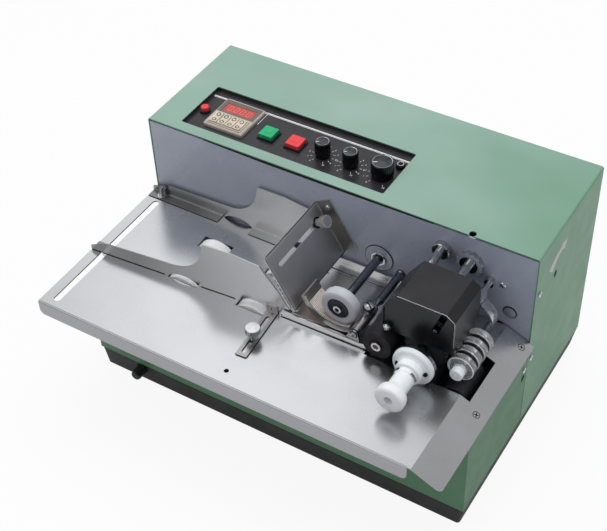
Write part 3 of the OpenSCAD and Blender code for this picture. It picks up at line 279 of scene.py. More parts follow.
# finishes by the slots of the frame's nodes
finish = {
    "cabinet_green": enamel("greenEnamel", "5c8c6d", "659678", rough=0.42, coat=0.0, sheen=0.34),
    "front_plate_grey": enamel("greyEnamel", "9aa2b4", "a6aebf", rough=0.3, coat=0.5),
    "base_black": enamel("blackPowderCoat", "19191b", "222224", rough=0.55, peel=1.1, height=0.04,
                         coat=0.0),
    "foot_rubber": moulded("mouldedRubber", "161617", "202022", rough=0.75),
    "panel_black": moulded("panelLacquer", "29282c", "323136", rough=0.34, Coat_Weight=0.08),
    "counter_grey": moulded("greyAbs", "b3a99f", "c4bab0", rough=0.45),
    "key_beige": moulded("beigeAbs", "cbbfab", "dacfbd", rough=0.42),
    "button_green": moulded("greenPolycarbonate", "0fa368", "1bb678", rough=0.25),
    "button_red": moulded("redPolycarbonate", "e23a40", "ee4b50", rough=0.25),
    "knob_black": moulded("blackPhenolic", "060608", "0c0c0e", rough=0.18),
    "black_plastic": moulded("blackNylon", "141416", "1e1e21", rough=0.34),
    # the table's lip and other upright faces get a painted shade
    "stainless_sheet": brushed("brushedStainless", "ced0d3", "dfe0e4", rough=0.26, edge="a4a4a8"),
    "gate_steel": brushed("crossBrushedStainless", "d8d7d8", "e5e4e5", rough=0.42,
                          along=(1.0, 160, 160)),
    "bright_steel": polished("turnedSteel", "b3b4b9", "d9dade"),
    "blued_steel": polished("bluedSteel", "7d808a", "9497a1", rough=0.2, cell=20),
    "hood_black": enamel("hoodEnamel", "141419", "1c1c23", rough=0.32, height=0.01, coat=0.0),
    "white_nylon": moulded("whiteNylon", "eaedf2", "f6f8fb", rough=0.4, Subsurface_Weight=0.08),
    "wheel_white": moulded("paleUrethane", "b6b8c0", "c7c9d1", rough=0.5),
    "clear_plastic": acrylic("clearAcrylic", "f4f7fb"),
    "black_rubber": moulded("blackRubber", "1a1a1d", "28282c", rough=0.55),
    "pad_copper": moulded("copperRubber", "ded3ce", "efe6e2", rough=0.5),
    "bracket_steel": brushed("brushedMildSteel", "c9c7c5", "dfdddb", rough=0.3,
                             along=(80, 1.0, 80)),
    "zinc_screw": polished("zincPlatedSteel", "c2c4c8", "eff0f3", rough=0.15, cell=2),
    "frame_zinc": polished("passivatedZinc", "7e8083", "97999c", rough=0.35),
    "motor_grey": enamel("motorEnamel", "3a3d41", "474a4f"),
    "board_green": moulded("boardLacquer", "1f4f2d", "2a6138", rough=0.3),
    "belt_rubber": moulded("beltRubber", "151516", "1f1f20", rough=0.7),
    "type_rubber": moulded("typeRubber", "242529", "33353a", rough=0.5),
    "ink_felt": moulded("inkedFelt", "101014", "1b1b20", rough=0.35),
}
# nodes that differ from their slot
shadedGreenEnamel = enamel("shadedGreenEnamel", "4b7857", "548162", rough=0.48,
                         coat=0.0)  # painted shade: darker, as the box lies under the table, and free of the painted sheen
rolledStainless = brushed("rolledStainless", "dededf", "ececec", rough=0.3, along=(200, 4, 4),
                          height=0, dull="979798")  # smooth, so it mirrors the room softly
brushedStrip = brushed("brushedStrip", "b5b3b1", "cfcdcb", rough=0.32,
                       along=(80, 1.0, 80))  # short strokes across, so it stays grey
whiteRubber = moulded("whiteRubber", "dfe0e4", "eeeff2", rough=0.5)  # matt, nearly white
special = {
    "front_box": shadedGreenEnamel,
    "front_guide": rolledStainless,
    "rear_guide": rolledStainless,
    "guide_strip": brushedStrip,
    "feed_wheels_left": whiteRubber,
    "feed_wheels_right": whiteRubber,
}
# bends sharper than this keep a hard edge in the shading
hardEdge = {"frame": math.radians(28), "own": math.radians(30)}
for entry in frame["record"]["subparts"]:
    target = nodes[entry["node"]]
    for holder in target.material_slots:
        holder.material = special.get(entry["node"], finish[entry["material_slot"]])
    target.data.shade_smooth()
    target.data.set_sharp_from_angle(angle=hardEdge["frame"])
print("finishes given to the frame's nodes")

# finishes of the scene's own pieces
whiteInk = printedInk("whiteInk", "e6e6e8", "f4f4f5")  # opaque, so it stays white on black
paleInk = printedInk("paleInk", "b3b3b6", "cfcfd2")  # thin, so the paint below greys it
smokedAbs = moulded("smokedAbs", "625e5a", "6f6a66", rough=0.4)  # dull, not dark
redAcrylic = moulded("redAcrylic", "a83833", "b8443e", rough=0.12, Coat_Weight=0.5)  # a glossy film
litSegments = litSegment("litSegments", "e8665c", 0.2)  # paler than the filter over it
spunAluminium = polished("spunAluminium", "3f4247", "6a6d73", rough=0.3, cell=6)  # turned dark
cutAluminium = polished("cutAluminium", "b9bbc0", "e3e4e8", rough=0.14, cell=3)  # cut bright
nickelPlate = polished("nickelPlate", "c9cace", "f2f2f4", rough=0.12, cell=3)  # plated, a mirror
sinteredBronze = polished("sinteredBronze", "6d4a40", "8c6355", rough=0.4)  # oiled, so brown
edgeHighlightSteel = polished("edgeHighlightSteel", "b9b7bd", "dddbe2", rough=0.25, cell=8)  # a painted highlight along the ink cover's rim
rolledSteel = polished("rolledSteel", "a39f9b", "bbb7b3", rough=0.55, cell=8)  # rolled, matt
oiledSteel = polished("oiledSteel", "8f8e8c", "a8a7a5", rough=0.5, cell=7)  # the same, oily
edgeShadeSteel = polished("edgeShadeSteel", "2b2b2e", "3d3d41", rough=0.4, cell=4)  # painted shade along the gate's edges
paintedHighlight = moulded("paintedHighlight", "9a9a9d", "b4b4b8", rough=0.5)  # pale and matt, a painted highlight
shadedSteel = brushed("shadedBrushedSteel", "9c9c98", "adada9", rough=0.45,
                      along=(160, 1.0, 160))  # painted shade on the gate's wing; coarse grit, so it reads flat
groundAcrylic = moulded("groundAcrylic", "dfe3e8", "f2f4f7", rough=0.45)  # acrylic ground to frost
shadedRubber = moulded("shadedRubber", "9b8c86", "ac9d97", rough=0.6)  # rubber shaded by its ribs
corkRubber = moulded("corkRubber", "93847f", "a4958f", rough=0.5)  # dusty copper-brown rubber
greyTopcoat = enamel("greyTopcoat", "757b88", "828894", rough=0.4, coat=0.2)  # darker and greyer than the plate
shadeBlack = moulded("shadeBlack", "060607", "0b0b0c", rough=0.7)  # hollows that hold no light


# a mesh from points in millimetres of the cabinet, riding on a body
def piece(name, points, faces, material, body, slotName):
    mesh = bpy.data.meshes.new(name)
    mesh.from_pydata([at(*p) for p in points], [], faces)
    made = bmesh.new()
    made.from_mesh(mesh)
    bmesh.ops.recalc_face_normals(made, faces=made.faces)
    made.to_mesh(mesh)
    made.free()
    mesh.materials.append(material)
    mesh.shade_smooth()
    mesh.set_sharp_from_angle(angle=hardEdge["own"])
    thing = bpy.data.objects.new(name, mesh)
    bpy.context.scene.collection.objects.link(thing)
    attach(thing, body)
    return thing


# axes of a local frame: where its x, y and z point in the cabinet
up = Matrix(((1, 0, 0), (0, 1, 0), (0, 0, 1)))
front = Matrix(((1, 0, 0), (0, 0, -1), (0, 1, 0)))
right = Matrix(((0, 0, 1), (1, 0, 0), (0, 1, 0)))
back = Matrix(((-1, 0, 0), (0, 0, 1), (0, 1, 0)))


def bar(x0, y0, x1, y1):
    return [(x0, y0), (x1, y0), (x1, y1), (x0, y1)]


def polar(radius, angle, centre=(0, 0)):
    return centre[0] + radius * math.cos(angle), centre[1] + radius * math.sin(angle)


def turned2d(outline, angle, shift=(0, 0)):
    c, s = math.cos(angle), math.sin(angle)
    return [(x * c - y * s + shift[0], x * s + y * c + shift[1]) for x, y in outline]


def ringSector(r0, r1, a0, a1, steps=10):
    angles = [math.radians(a0 + (a1 - a0) * i / steps) for i in range(steps + 1)]
    return [polar(r1, a) for a in angles] + [polar(r0, a) for a in reversed(angles)]


# a solid of revolution about the local z of a facing; profile is (radius, height)
def lathed(name, base, facing, profile, material, body, slotName, steps=48):
    rings = []
    points = []
    for radius, height in profile:
        if radius == 0:
            rings.append([len(points)])
            points.append(tuple(Vector(base) + facing @ Vector((0, 0, height))))
            continue
        rings.append(list(range(len(points), len(points) + steps)))
        for i in range(steps):
            local = Vector((*polar(radius, 2 * math.pi * i / steps), height))
            points.append(tuple(Vector(base) + facing @ local))
    faces = []
    for low, high in zip(rings, rings[1:]):
        for i in range(steps):
            j = (i + 1) % steps
            if len(low) == 1 and len(high) == 1:
                continue
            if len(low) == 1:
                faces.append((low[0], high[i], high[j]))
            elif len(high) == 1:
                faces.append((low[i], low[j], high[0]))
            else:
                faces.append((low[i], low[j], high[j], high[i]))
    return piece(name, points, faces, material, body, slotName)


# flat shapes cut from sheet or printed: outlines in local x and y, between two heights
def slabs(name, outlines, low, high, base, facing, material, body, slotName):
    points = []
    faces = []
    for outline in outlines:
        start = len(points)
        count = len(outline)
        for height in (low, high):
            for x, y in outline:
                points.append(tuple(Vector(base) + facing @ Vector((x, y, height))))
        faces.append(tuple(range(start + count - 1, start - 1, -1)))
        faces.append(tuple(range(start + count, start + 2 * count)))
        for i in range(count):
            j = (i + 1) % count
            faces.append((start + i, start + j, start + count + j, start + count + i))
    return piece(name, points, faces, material, body, slotName)


# a wall through rings of equal count, each at its own height, fixed to the machine
def walled(name, rings, material, slotName, closed=True):
    points = [p for ring in rings for p in ring]
    count = len(rings[0])
    faces = []
    for k in range(len(rings) - 1):
        for i in range(count):
            j = (i + 1) % count
            faces.append((k * count + i, k * count + j, (k + 1) * count + j, (k + 1) * count + i))
    if closed:
        faces.append(tuple(range(count - 1, -1, -1)))
        faces.append(tuple(range((len(rings) - 1) * count, len(rings) * count)))
    return piece(name, points, faces, material, "root", slotName)


# how high a print or a shade lies on the face that carries it
film = (0, 0.05)


# profiles of a flat disc and of a flat washer
def disc(outer, low, high):
    return [(0, low), (outer, low), (outer, high), (0, high)]


def washer(inner, outer, low, high):
    return [(inner, low), (outer, low), (outer, high), (inner, high), (inner, low)]


def screwCross(half, wide, degrees):
    return [turned2d(bar(-half, -wide, half, wide), math.radians(degrees + 90 * k))
            for k in (0, 1)]


# a point on an axis that runs to the front
def onAxis(axis, y, aside=0):
    return axis[0] + aside, y, axis[1]


def roundedRing(x0, y0, x1, y1, z, radius, steps=5):
    ring = []
    for centre, start in (((x1 - radius, y1 - radius), 0), ((x0 + radius, y1 - radius), 90),
                          ((x0 + radius, y0 + radius), 180), ((x1 - radius, y0 + radius), 270)):
        for i in range(steps + 1):
            ring.append((*polar(radius, math.radians(start + 90 * i / steps), centre), z))
    return ring


def numeral(text, size, x, y):
    curve = bpy.data.curves.new("numeral", "FONT")
    curve.body = text
    curve.size = size
    curve.align_x = "CENTER"
    curve.align_y = "CENTER"
    holder = bpy.data.objects.new("numeral", curve)
    mesh = bpy.data.meshes.new_from_object(holder)
    points = [(v.co.x + x, v.co.y + y) for v in mesh.vertices]
    faces = [tuple(p.vertices) for p in mesh.polygons]
    bpy.data.objects.remove(holder)
    bpy.data.curves.remove(curve)
    bpy.data.meshes.remove(mesh)
    return points, faces


# control panel: stripes, a line round the counter, and a scale round each knob
panel = {
    "ink": 0.04,
    "stripes": ((35.5, 70.8, 273, 71.4), (35.5, 72.0, 273, 73.3)),
    "knobs": (("timing_knob", 190, 40, 8.2), ("position_knob", 222.5, 39.6, 8.2),
              ("speed_knob", 258, 41, 11.6)),
    "counter": (78, 47),
    "counterLines": ((-26.2, 24.9, 26.2, 25.5), (-26.2, 4, -25.6, 25.5), (25.6, 4, 26.2, 25.5)),
    "fuse": (267.5, 61.5),
    "fuseTop": 4.5,
}
scale = {
    "marks": 11,
    "from": 240,  # degrees
    "step": 30,
    "tick": (2.4, 4.6),  # from the knob's edge outwards
    "tickHalf": 0.22,
    "numberAt": 7,
    "numberSize": 3.0,
    "reach": 8.5,  # marks that would reach the panel's end or the fuse are left out
    "panelEnd": 272.5,
    "fuseRoom": 8,
}
marks = [bar(*stripe) for stripe in panel["stripes"]]
numbers = []
for knobName, kx, ky, kr in panel["knobs"]:
    for step in range(scale["marks"]):
        angle = math.radians(scale["from"] - scale["step"] * step)
        outermost = polar(kr + scale["reach"], angle, (kx, ky))
        if outermost[0] > scale["panelEnd"]:
            continue
        if math.dist(outermost, panel["fuse"]) < scale["fuseRoom"]:
            continue
        tick = bar(kr + scale["tick"][0], -scale["tickHalf"], kr + scale["tick"][1],
                   scale["tickHalf"])
        marks.append(turned2d(tick, angle, (kx, ky)))
        numbers.append(numeral(str(step), scale["numberSize"],
                               *polar(kr + scale["numberAt"], angle, (kx, ky))))
for line in panel["counterLines"]:
    marks.append(turned2d(bar(*line), 0, panel["counter"]))
slabs("panelPrint", marks, 0, panel["ink"], (0, 0, panelTop), up, whiteInk, "root", "panel_black")
points = []
faces = []
for numberPoints, numberFaces in numbers:
    start = len(points)
    points += [(x, y, panelTop + panel["ink"]) for x, y in numberPoints]
    faces += [tuple(i + start for i in f) for f in numberFaces]
piece("panelNumbers", points, faces, whiteInk, "root", "panel_black")

# knobs: a spun disc let into the top, its bright rim, and a white pointer
knobFace = {"z": 271.5, "inset": 1.15, "pointer": (0.2, 0.36), "pointerHalf": 0.4, "degrees": 215}
for knobName, kx, ky, kr in panel["knobs"]:
    seat = (kx, ky, knobFace["z"])
    rim = kr - knobFace["inset"]
    lathed(knobName + "Disc", seat, up,
           [(0, 0), (rim - 0.8, 0), (rim - 0.8, 0.25), (rim - 1.2, 0.3), (0, 0.3)],
           spunAluminium, knobName, "knob_black")
    lathed(knobName + "Rim", seat, up,
           [(rim - 0.9, 0), (rim, 0), (rim, 0.38), (rim - 0.25, 0.5), (rim - 0.7, 0.42),
            (rim - 0.9, 0.25), (rim - 0.9, 0)], cutAluminium, knobName, "knob_black")
    pointer = bar(kr * 0.42, -knobFace["pointerHalf"], rim - 1.0, knobFace["pointerHalf"])
    slabs(knobName + "Pointer", [turned2d(pointer, math.radians(knobFace["degrees"]))],
          *knobFace["pointer"], seat, up, whiteInk, knobName, "knob_black")

fuseCap = (*panel["fuse"], panelTop + panel["fuseTop"])
lathed("fuseCapRing", fuseCap, up,
       [(2.5, 0), (3.7, 0), (3.7, 0.2), (3.4, 0.45), (2.8, 0.45), (2.5, 0.2), (2.5, 0)],
       cutAluminium, "root", "bright_steel")
# painted shade in the cap's slot
lathed("fuseCapSlot", fuseCap, up, disc(2.5, 0.05, 0.2), shadeBlack, "root", "black_plastic")

# counter: dark display face with a red filter and lit segments
counter = {
    "z": 257.5,
    "face": (-22.4, 0.2, 22.4, 21.8),
    "window": (-17.8, 2.7, 17.8, 16.3),
    "digits": 4,
    "digit": (4.6, 8.6),
    "digitMiddle": 9.5,
    "pitch": 7.6,
    "stroke": 0.95,
    "gap": 0.57,  # between the ends of the strokes
    "slant": 0.12,
    "faceFrom": (-0.02, 0.08),
    "filterFrom": (-0.95, -0.3),
    "lightFrom": (-0.3, -0.25),
}
counterAt = (*panel["counter"], counter["z"])
fx0, fy0, fx1, fy1 = counter["face"]
wx0, wy0, wx1, wy1 = counter["window"]
surround = [bar(fx0, wy1, fx1, fy1), bar(fx0, fy0, fx1, wy0), bar(fx0, wy0, wx0, wy1),
            bar(wx1, wy0, fx1, wy1)]
slabs("displayFace", surround, *counter["faceFrom"], counterAt, up, smokedAbs, "root",
      "counter_grey")
slabs("displayFilter", [bar(*counter["window"])], *counter["filterFrom"], counterAt, up,
      redAcrylic, "root", "counter_grey")
wide, tall = counter["digit"]
stroke, gap = counter["stroke"], counter["gap"]
segments = []
for i in range(counter["digits"]):
    x0 = (i - 1.5) * counter["pitch"] - wide / 2
    y0 = counter["digitMiddle"] - tall / 2
    parts = [bar(gap, y, wide - gap, y + stroke) for y in (0, tall - stroke)]
    for x in (0, wide - stroke):
        parts.append(bar(x, gap, x + stroke, (tall - gap) / 2))
        parts.append(bar(x, (tall + gap) / 2, x + stroke, tall - gap))
    for part in parts:
        segments.append([(x0 + x + counter["slant"] * y, y0 + y) for x, y in part])
slabs("displaySegments", segments, *counter["lightFrom"], counterAt, up, litSegments, "root",
      "counter_grey")

# its rocker keys: a ring and a dimple for the finger at each end
key = {"pitch": 9.6, "y": -12, "end": 4.5, "arc": 31.8, "ringZ": 259.65, "dimpleZ": 259.67}
for i in range(counter["digits"]):
    for side in (-1, 1):
        kx = panel["counter"][0] + (i - 1.5) * key["pitch"]
        ky = panel["counter"][1] + key["y"] + side * key["end"]
        turn = Matrix.Rotation(math.asin(key["end"] / key["arc"]) * side, 3, "X")
        place = "%d.%d" % (i + 1, side + 1)
        body = "key_%d" % (i + 1)
        lathed("keyRing." + place, (kx, ky, key["ringZ"]), turn,
               [(1.6, 0), (2.5, 0), (2.5, 0.25), (2.3, 0.42), (1.8, 0.42), (1.6, 0.25), (1.6, 0)],
               smokedAbs, body, "key_beige", steps=24)
        lathed("keyDimple." + place, (kx, ky, key["dimpleZ"]), turn, disc(1.55, 0, 0.06),
               finish["key_beige"], body, "key_beige", steps=24)
print("control panel dressed")

# right side: an arrow for the turning sense, and painted shade in the joint between cover and box
sidePrint = {
    "arrow": [(29.2, 219.3), (36.2, 225.1), (44.5, 228.7), (56.2, 230.4), (57.6, 233.4),
              (70.4, 230.5), (65.1, 219.7), (62.0, 223.2), (53.0, 222.2), (45.6, 218.2),
              (38.9, 210.6)],
    "joint": (-0.9, 33, -0.1, 157),
}
sideFace = (cabinet["width"], 0, 0)
slabs("sideArrow", [sidePrint["arrow"]], *film, sideFace, right, paleInk, "root",
      "cabinet_green")
slabs("sideJoint", [bar(*sidePrint["joint"])], *film, sideFace, right, shadeBlack, "root",
      "cabinet_green")

# white hand knob: wire clip round the neck, screws in the flange painted black as the shade in their
# holes
handKnob = {
    "axis": (374, 181.8),
    "clipY": -125.8,
    "clip": (10.5, 11.5),
    "clipHalf": 1.1,
    "arcMiddles": (150, 30, 270),  # degrees
    "arcHalf": 26,
    "flangeY": -108,
    "screwsAt": 14.4,
}
arcs = [ringSector(*handKnob["clip"], middle - handKnob["arcHalf"], middle + handKnob["arcHalf"])
        for middle in handKnob["arcMiddles"]]
slabs("neckClip", arcs, -handKnob["clipHalf"], handKnob["clipHalf"],
      onAxis(handKnob["axis"], handKnob["clipY"]), front, finish["frame_zinc"], "print_head",
      "white_nylon")
for i, side in enumerate((-1, 1)):
    lathed("flangeScrew.%d" % (i + 1),
           onAxis(handKnob["axis"], handKnob["flangeY"], side * handKnob["screwsAt"]), front,
           [(0, 0), (2.5, 0), (2.5, 6.2), (2.1, 6.8), (1.2, 6.8), (1.2, 6), (0, 6)],
           shadeBlack, "print_head", "white_nylon", steps=24)
print("hand knob dressed")

# separating wheel: black hub disc and bright washer round the socket screw
wheel = {"axis": (277.5, 184.2), "hubY": -81, "screwY": -84}
lathed("wheelHubDisc", onAxis(wheel["axis"], wheel["hubY"]), front,
       [(4.6, 0), (11.6, 0), (11.6, 0.5), (11.2, 0.9), (4.6, 0.9), (4.6, 0)],
       finish["black_plastic"], "separator", "black_plastic")
lathed("wheelSocketRim", onAxis(wheel["axis"], wheel["screwY"]), front,
       [(2.7, 0), (2.7, 0.08), (4.2, 0.08), (4.4, -0.1), (4.4, -2.2), (4.2, -2.2), (4.2, 0),
        (2.7, 0)], cutAluminium, "separator", "bright_steel")
# ribbed pad glued in the trough, starting below the trough's bare upper end
pad = {
    "axis": (277.5, 201.3),
    "back": 38.5,
    "valley": 37.9,
    "crest": 37.3,
    "from": 214.5,  # degrees
    "to": 290,
    "pitch": 2.5,
    "rib": (0.2, 0.8),  # parts of the pitch
    "reach": (60.5, 86.5),  # in front of the plate
    "lip": (37.4, 38.45, 199.6, 214.2),
    "lipReach": (60.3, 87.9),
}
padAt = onAxis(pad["axis"], 0)
ribbed = slabs("padBack", [ringSector(pad["valley"], pad["back"], pad["from"], pad["to"], 40)],
               *pad["reach"], padAt, front, shadedRubber, "friction_bracket", "pad_copper")
ribs = []
for i in range(int((pad["to"] - pad["from"]) / pad["pitch"])):
    start, end = (pad["from"] + (i + part) * pad["pitch"] for part in pad["rib"])
    ribs.append(ringSector(pad["crest"], pad["valley"], start, end, 1))
slabs("padRibs", ribs, *pad["reach"], padAt, front, finish["pad_copper"], "friction_bracket",
      "pad_copper")
slabs("troughLip", [ringSector(*pad["lip"], 8)], *pad["lipReach"], padAt, front, rolledSteel,
      "friction_bracket", "bracket_steel")
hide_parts("friction_pad")

# the separator plate's front edge is folded up into a low rail, with a painted shadow before it
rail = {
    "from": (223, -98.3),
    "to": (317, -96.7),
    "thick": 1.0,
    "foot": 0.1,
    "tops": (9.0, 5.4),
    # edges of the painted shadow, across the rail
    "joint": (-0.95, -0.1),
    "shadowPast": 2,
    "shadowHeights": (0.02, 0.07),
}
onTable = (0, 0, tableTop)
(x0, y0), (x1, y1) = rail["from"], rail["to"]
railTurn = math.atan2(y1 - y0, x1 - x0)
railLength = math.dist(rail["from"], rail["to"])
railFoot = turned2d(bar(0, 0, railLength, rail["thick"]), railTurn, rail["from"])
railTops = rail["tops"] + rail["tops"][::-1]
walled("frontRail", [[(x, y, tableTop + rail["foot"]) for x, y in railFoot],
                     [(x, y, tableTop + top) for (x, y), top in zip(railFoot, railTops)]],
       rolledStainless, "stainless_sheet")
# behind it the plate is lined: bare sheet, then a copper-coloured strip under the trough
lining = {
    "ledge": [(223.5, -96.9), (262, -96.2), (262, -89), (223.5, -89)],
    "strip": (224, -88.2, 268, -62),
    "heights": (0.02, 0.3),
}
slabs("plateLedge", [lining["ledge"]], *lining["heights"], onTable, up, oiledSteel, "root",
      "stainless_sheet")
slabs("copperLiner", [bar(*lining["strip"])], *lining["heights"], onTable, up, corkRubber,
      "root", "pad_copper")
shadowBar = bar(-rail["shadowPast"], rail["joint"][0], railLength + rail["shadowPast"],
               rail["joint"][1])
slabs("railShadow", [turned2d(shadowBar, railTurn, rail["from"])], *rail["shadowHeights"],
      onTable, up, shadeBlack, "root", "stainless_sheet")

# screw clamping the eye on its rod: bright domed head on a washer painted black as shade, its slot
# painted shade; painted shade round the rim of the ear's screw
clamp = {"washerAt": (303.4, -66.5, 184.8), "headAt": (303.4, -66.5, 185.5),
         "slot": (-4.4, -0.65, 4.4, 0.65), "slotFrom": (1.6, 3.25), "degrees": -35}
earScrew = {"axis": (302.6, 173.6), "washerY": -95.6, "headY": -97.6}
lathed("clampWasher", clamp["washerAt"], up, [(0, 0), (6, 0), (6, 0.5), (5.6, 0.7), (0, 0.7)],
       shadeBlack, "friction_bracket", "zinc_screw", steps=32)
lathed("clampHead", clamp["headAt"], up,
       [(0, 0), (5.2, 0), (5.3, 1.4), (4.6, 2.3), (2.6, 3), (0, 3.2)], nickelPlate,
       "friction_bracket", "zinc_screw", steps=32)
slabs("clampSlot", [turned2d(bar(*clamp["slot"]), math.radians(clamp["degrees"]))],
      *clamp["slotFrom"], clamp["headAt"], up, shadeBlack, "friction_bracket", "zinc_screw")
lathed("earScrewEdge", onAxis(earScrew["axis"], earScrew["washerY"]), front,
       washer(3.1, 4.3, 0, 0.06), shadeBlack, "root", "zinc_screw", steps=32)

# guides: painted shadows where their sheet stands on the table, a painted highlight at the rear one's
# bend
guides = {
    "turn": Matrix.Rotation(math.radians(4.3), 3, "Z"),  # the front guide stands off square
    "frontAt": (-0.01, -112.3, tableTop),
    "frontFeet": ((-3, 86), (129, 169), (213, 219)),
    "frontShadow": (0.02, 0.95),  # lower and upper edge
    "frontFace": (0.6, 0.66),  # how far before the middle of the sheet
    "rearAt": (0, -13.8, tableTop),
    "rearFeet": ((-2.6, 87.6), (127.4, 170.6), (211.4, 322)),
    "rearShadow": (0.02, 0.85),
    "rearFace": (0, 0.06),
    "bendAt": (0, -4, tableTop + 1.2),
    "bendWide": 0.8,
    "bendHeights": (0.02, 0.08),
    "stripAt": (-4, -112.6, tableTop + 0.05),
    "stripShadows": ((209.2, -66, 210, -2.6), (222, -66, 222.8, -2.6),
                    (209.8, -67.3, 222.2, -66.6), (213.8, -61, 214.4, -10.5),
                    (217.6, -61, 218.2, -10.5)),
    "stripHeights": (-0.04, 0.02),
}
low, high = guides["frontShadow"]
slabs("frontGuideShadow", [bar(a, low, b, high) for a, b in guides["frontFeet"]],
      *guides["frontFace"], guides["frontAt"], guides["turn"] @ front, shadeBlack,
      "front_guide", "bright_steel")
low, high = guides["rearShadow"]
slabs("rearGuideShadow", [bar(a, low, b, high) for a, b in guides["rearFeet"]],
      *guides["rearFace"], guides["rearAt"], front, shadeBlack, "root", "bright_steel")
slabs("rearGuideBendHighlight", [bar(a, 0, b, guides["bendWide"]) for a, b in guides["rearFeet"]],
      *guides["bendHeights"], guides["bendAt"], up, cutAluminium, "root", "bright_steel")

# gate plate: painted shade along its edges, painted highlights in lines beside them,
# and painted shade on a wing folded back along the front plate, duller than the plate
gate = {
    "at": (238, 0, tableTop + 14.4),
    "lean": math.radians(30.5),
    "shadedEdges": ((-94, 63.1, 0, 64), (-97, 0, -96.2, 61), (-97, 0, 0, 0.8)),
    "highlightLines": ((-94, 62.3, 0, 63), (-96.1, 1, -95.4, 61), (-82, 44, -13, 44.6),
                   (-1.9, 1, -1.2, 62)),
    "lines": (0.01, 0.06),  # how high the edges and lines lie on the plate
    "wingAt": (238, -1, tableTop + 14.4),
    "wing": (0.3, 2.2, 17.9, 63.8),
    "wingSkin": (0.01, 0.05),
    "nut": (-13.5, 46.6),
    "nutFace": 13.4,
}
c, s = math.cos(gate["lean"]), math.sin(gate["lean"])
gateTurn = Matrix(((0, -s, c), (1, 0, 0), (0, c, s)))
wingTurn = Matrix(((c, -s, 0), (0, 0, -1), (s, c, 0)))
slabs("gateEdgeShade", [bar(*edge) for edge in gate["shadedEdges"]], *gate["lines"], gate["at"],
      gateTurn, edgeShadeSteel, "root", "gate_steel")
slabs("gateGleam", [bar(*line) for line in gate["highlightLines"]], *gate["lines"], gate["at"],
      gateTurn, paintedHighlight, "root", "gate_steel")
slabs("gateWingShade", [bar(*gate["wing"])], *gate["wingSkin"], gate["wingAt"], wingTurn, shadedSteel,
      "root", "gate_steel")
# its thumb nut: a painted highlight round the rim of its face, a painted shadow where it bears on the
# plate
nutFoot = Vector(gate["at"]) + gateTurn @ Vector((*gate["nut"], 0))
nutTop = nutFoot + gateTurn @ Vector((0, 0, gate["nutFace"]))
lathed("thumbNutRim", nutTop, gateTurn, washer(5.7, 6.5, 0, 0.05), paintedHighlight, "gate_thumbscrew",
       "bright_steel")
lathed("thumbNutShadow", nutFoot, gateTurn, washer(4.5, 6, 0.02, 0.08), shadeBlack,
       "gate_thumbscrew", "bright_steel")

# the front plate bows a little, so the gap under the cover, filled with painted shade, is widest
# about its middle
coverGapShade = {
    "outline": [(70, 256.6), (70, 254.5), (100, 253.9), (150, 253.1), (240, 253.3), (290, 254),
                (335, 254.5), (335, 256.6)],
    "y": 0.49,
    "deep": 0.04,
}
slabs("coverGapShade", [coverGapShade["outline"]], 0, coverGapShade["deep"], (0, coverGapShade["y"], 0), front,
      shadeBlack, "root", "front_plate_grey")
# strip of the front guide: painted shadow along its sides and inside its slot
slabs("stripShadow", [bar(*line) for line in guides["stripShadows"]], *guides["stripHeights"],
      guides["stripAt"], guides["turn"], shadeBlack, "front_guide", "bracket_steel")
# hole in the table, with painted shade inside
tableHole = (214.6, -184.8, 158.7)
lathed("tableHole", tableHole, up,
       [(0, 0), (2.45, 0), (2.45, 1.25), (2.1, 1.25), (2.1, 0.2), (0, 0.2)], shadeBlack, "root",
       "stainless_sheet", steps=24)
print("feeder dressed")

# pinch roller: ball bearing seen at its front end
pinchEnd = (330, -100.8, 176.2)
lathed("pinchBearing", pinchEnd, front,
       [(2.6, 0), (5.3, 0), (5.3, 0.7), (4.9, 1.1), (3.2, 1.1), (2.8, 0.6), (2.6, 0)],
       cutAluminium, "upper_pinch", "bright_steel")
lathed("pinchBush", pinchEnd, front, disc(2.6, 0, 0.4), sinteredBronze, "upper_pinch", "bright_steel")
# exit roller: shade in the gaps between the clear discs, whose rims are ground matt and catch
# the light, and a white cap with a ring
exitRoller = {"axis": (410.5, 174), "pitch": 12.2, "discs": 4, "firstGap": -76.4,
              "firstDisc": -84.95, "capY": -86}
for i in range(exitRoller["discs"] - 1):
    lathed("gapRing.%d" % (i + 1),
           onAxis(exitRoller["axis"], exitRoller["firstGap"] + exitRoller["pitch"] * i), back,
           [(8.8, 0.1), (11.9, 0.1), (12.3, 0.5), (12.3, 3.1), (11.9, 3.5), (8.8, 3.5), (8.8, 0.1)],
           shadeBlack, "exit_roller", "black_rubber")
for i in range(exitRoller["discs"]):
    lathed("discRim.%d" % (i + 1),
           onAxis(exitRoller["axis"], exitRoller["firstDisc"] + exitRoller["pitch"] * i), back,
           [(12.6, 0), (13.3, 0), (13.54, 0.2), (13.54, 0.5), (13.3, 0.7), (12.6, 0.7), (12.6, 0)],
           groundAcrylic, "exit_roller", "clear_plastic")
lathed("exitCap", onAxis(exitRoller["axis"], exitRoller["capY"]), front,
       [(0, 0), (6.5, 0), (6.5, 8.4), (5.9, 9.1), (3.4, 9.1), (3.2, 8.7), (2.8, 8.7), (2.6, 9.1),
        (0, 9.1)], finish["white_nylon"], "exit_roller", "white_nylon")
print("rollers dressed")

# ink cover: a painted highlight along the front rim
hood = {"y": -90.6, "rim": 0.85, "corners": ((346, 243), (396, 243), (405, 236), (405, 204))}
strips = []
for (x0, z0), (x1, z1) in zip(hood["corners"], hood["corners"][1:]):
    strip = bar(0, -hood["rim"], math.dist((x0, z0), (x1, z1)), 0)
    strips.append(turned2d(strip, math.atan2(z1 - z0, x1 - x0), (x0, z0)))
slabs("hoodEdgeHighlight", strips, *film, (0, hood["y"], 0), front, edgeHighlightSteel, "root", "hood_black")
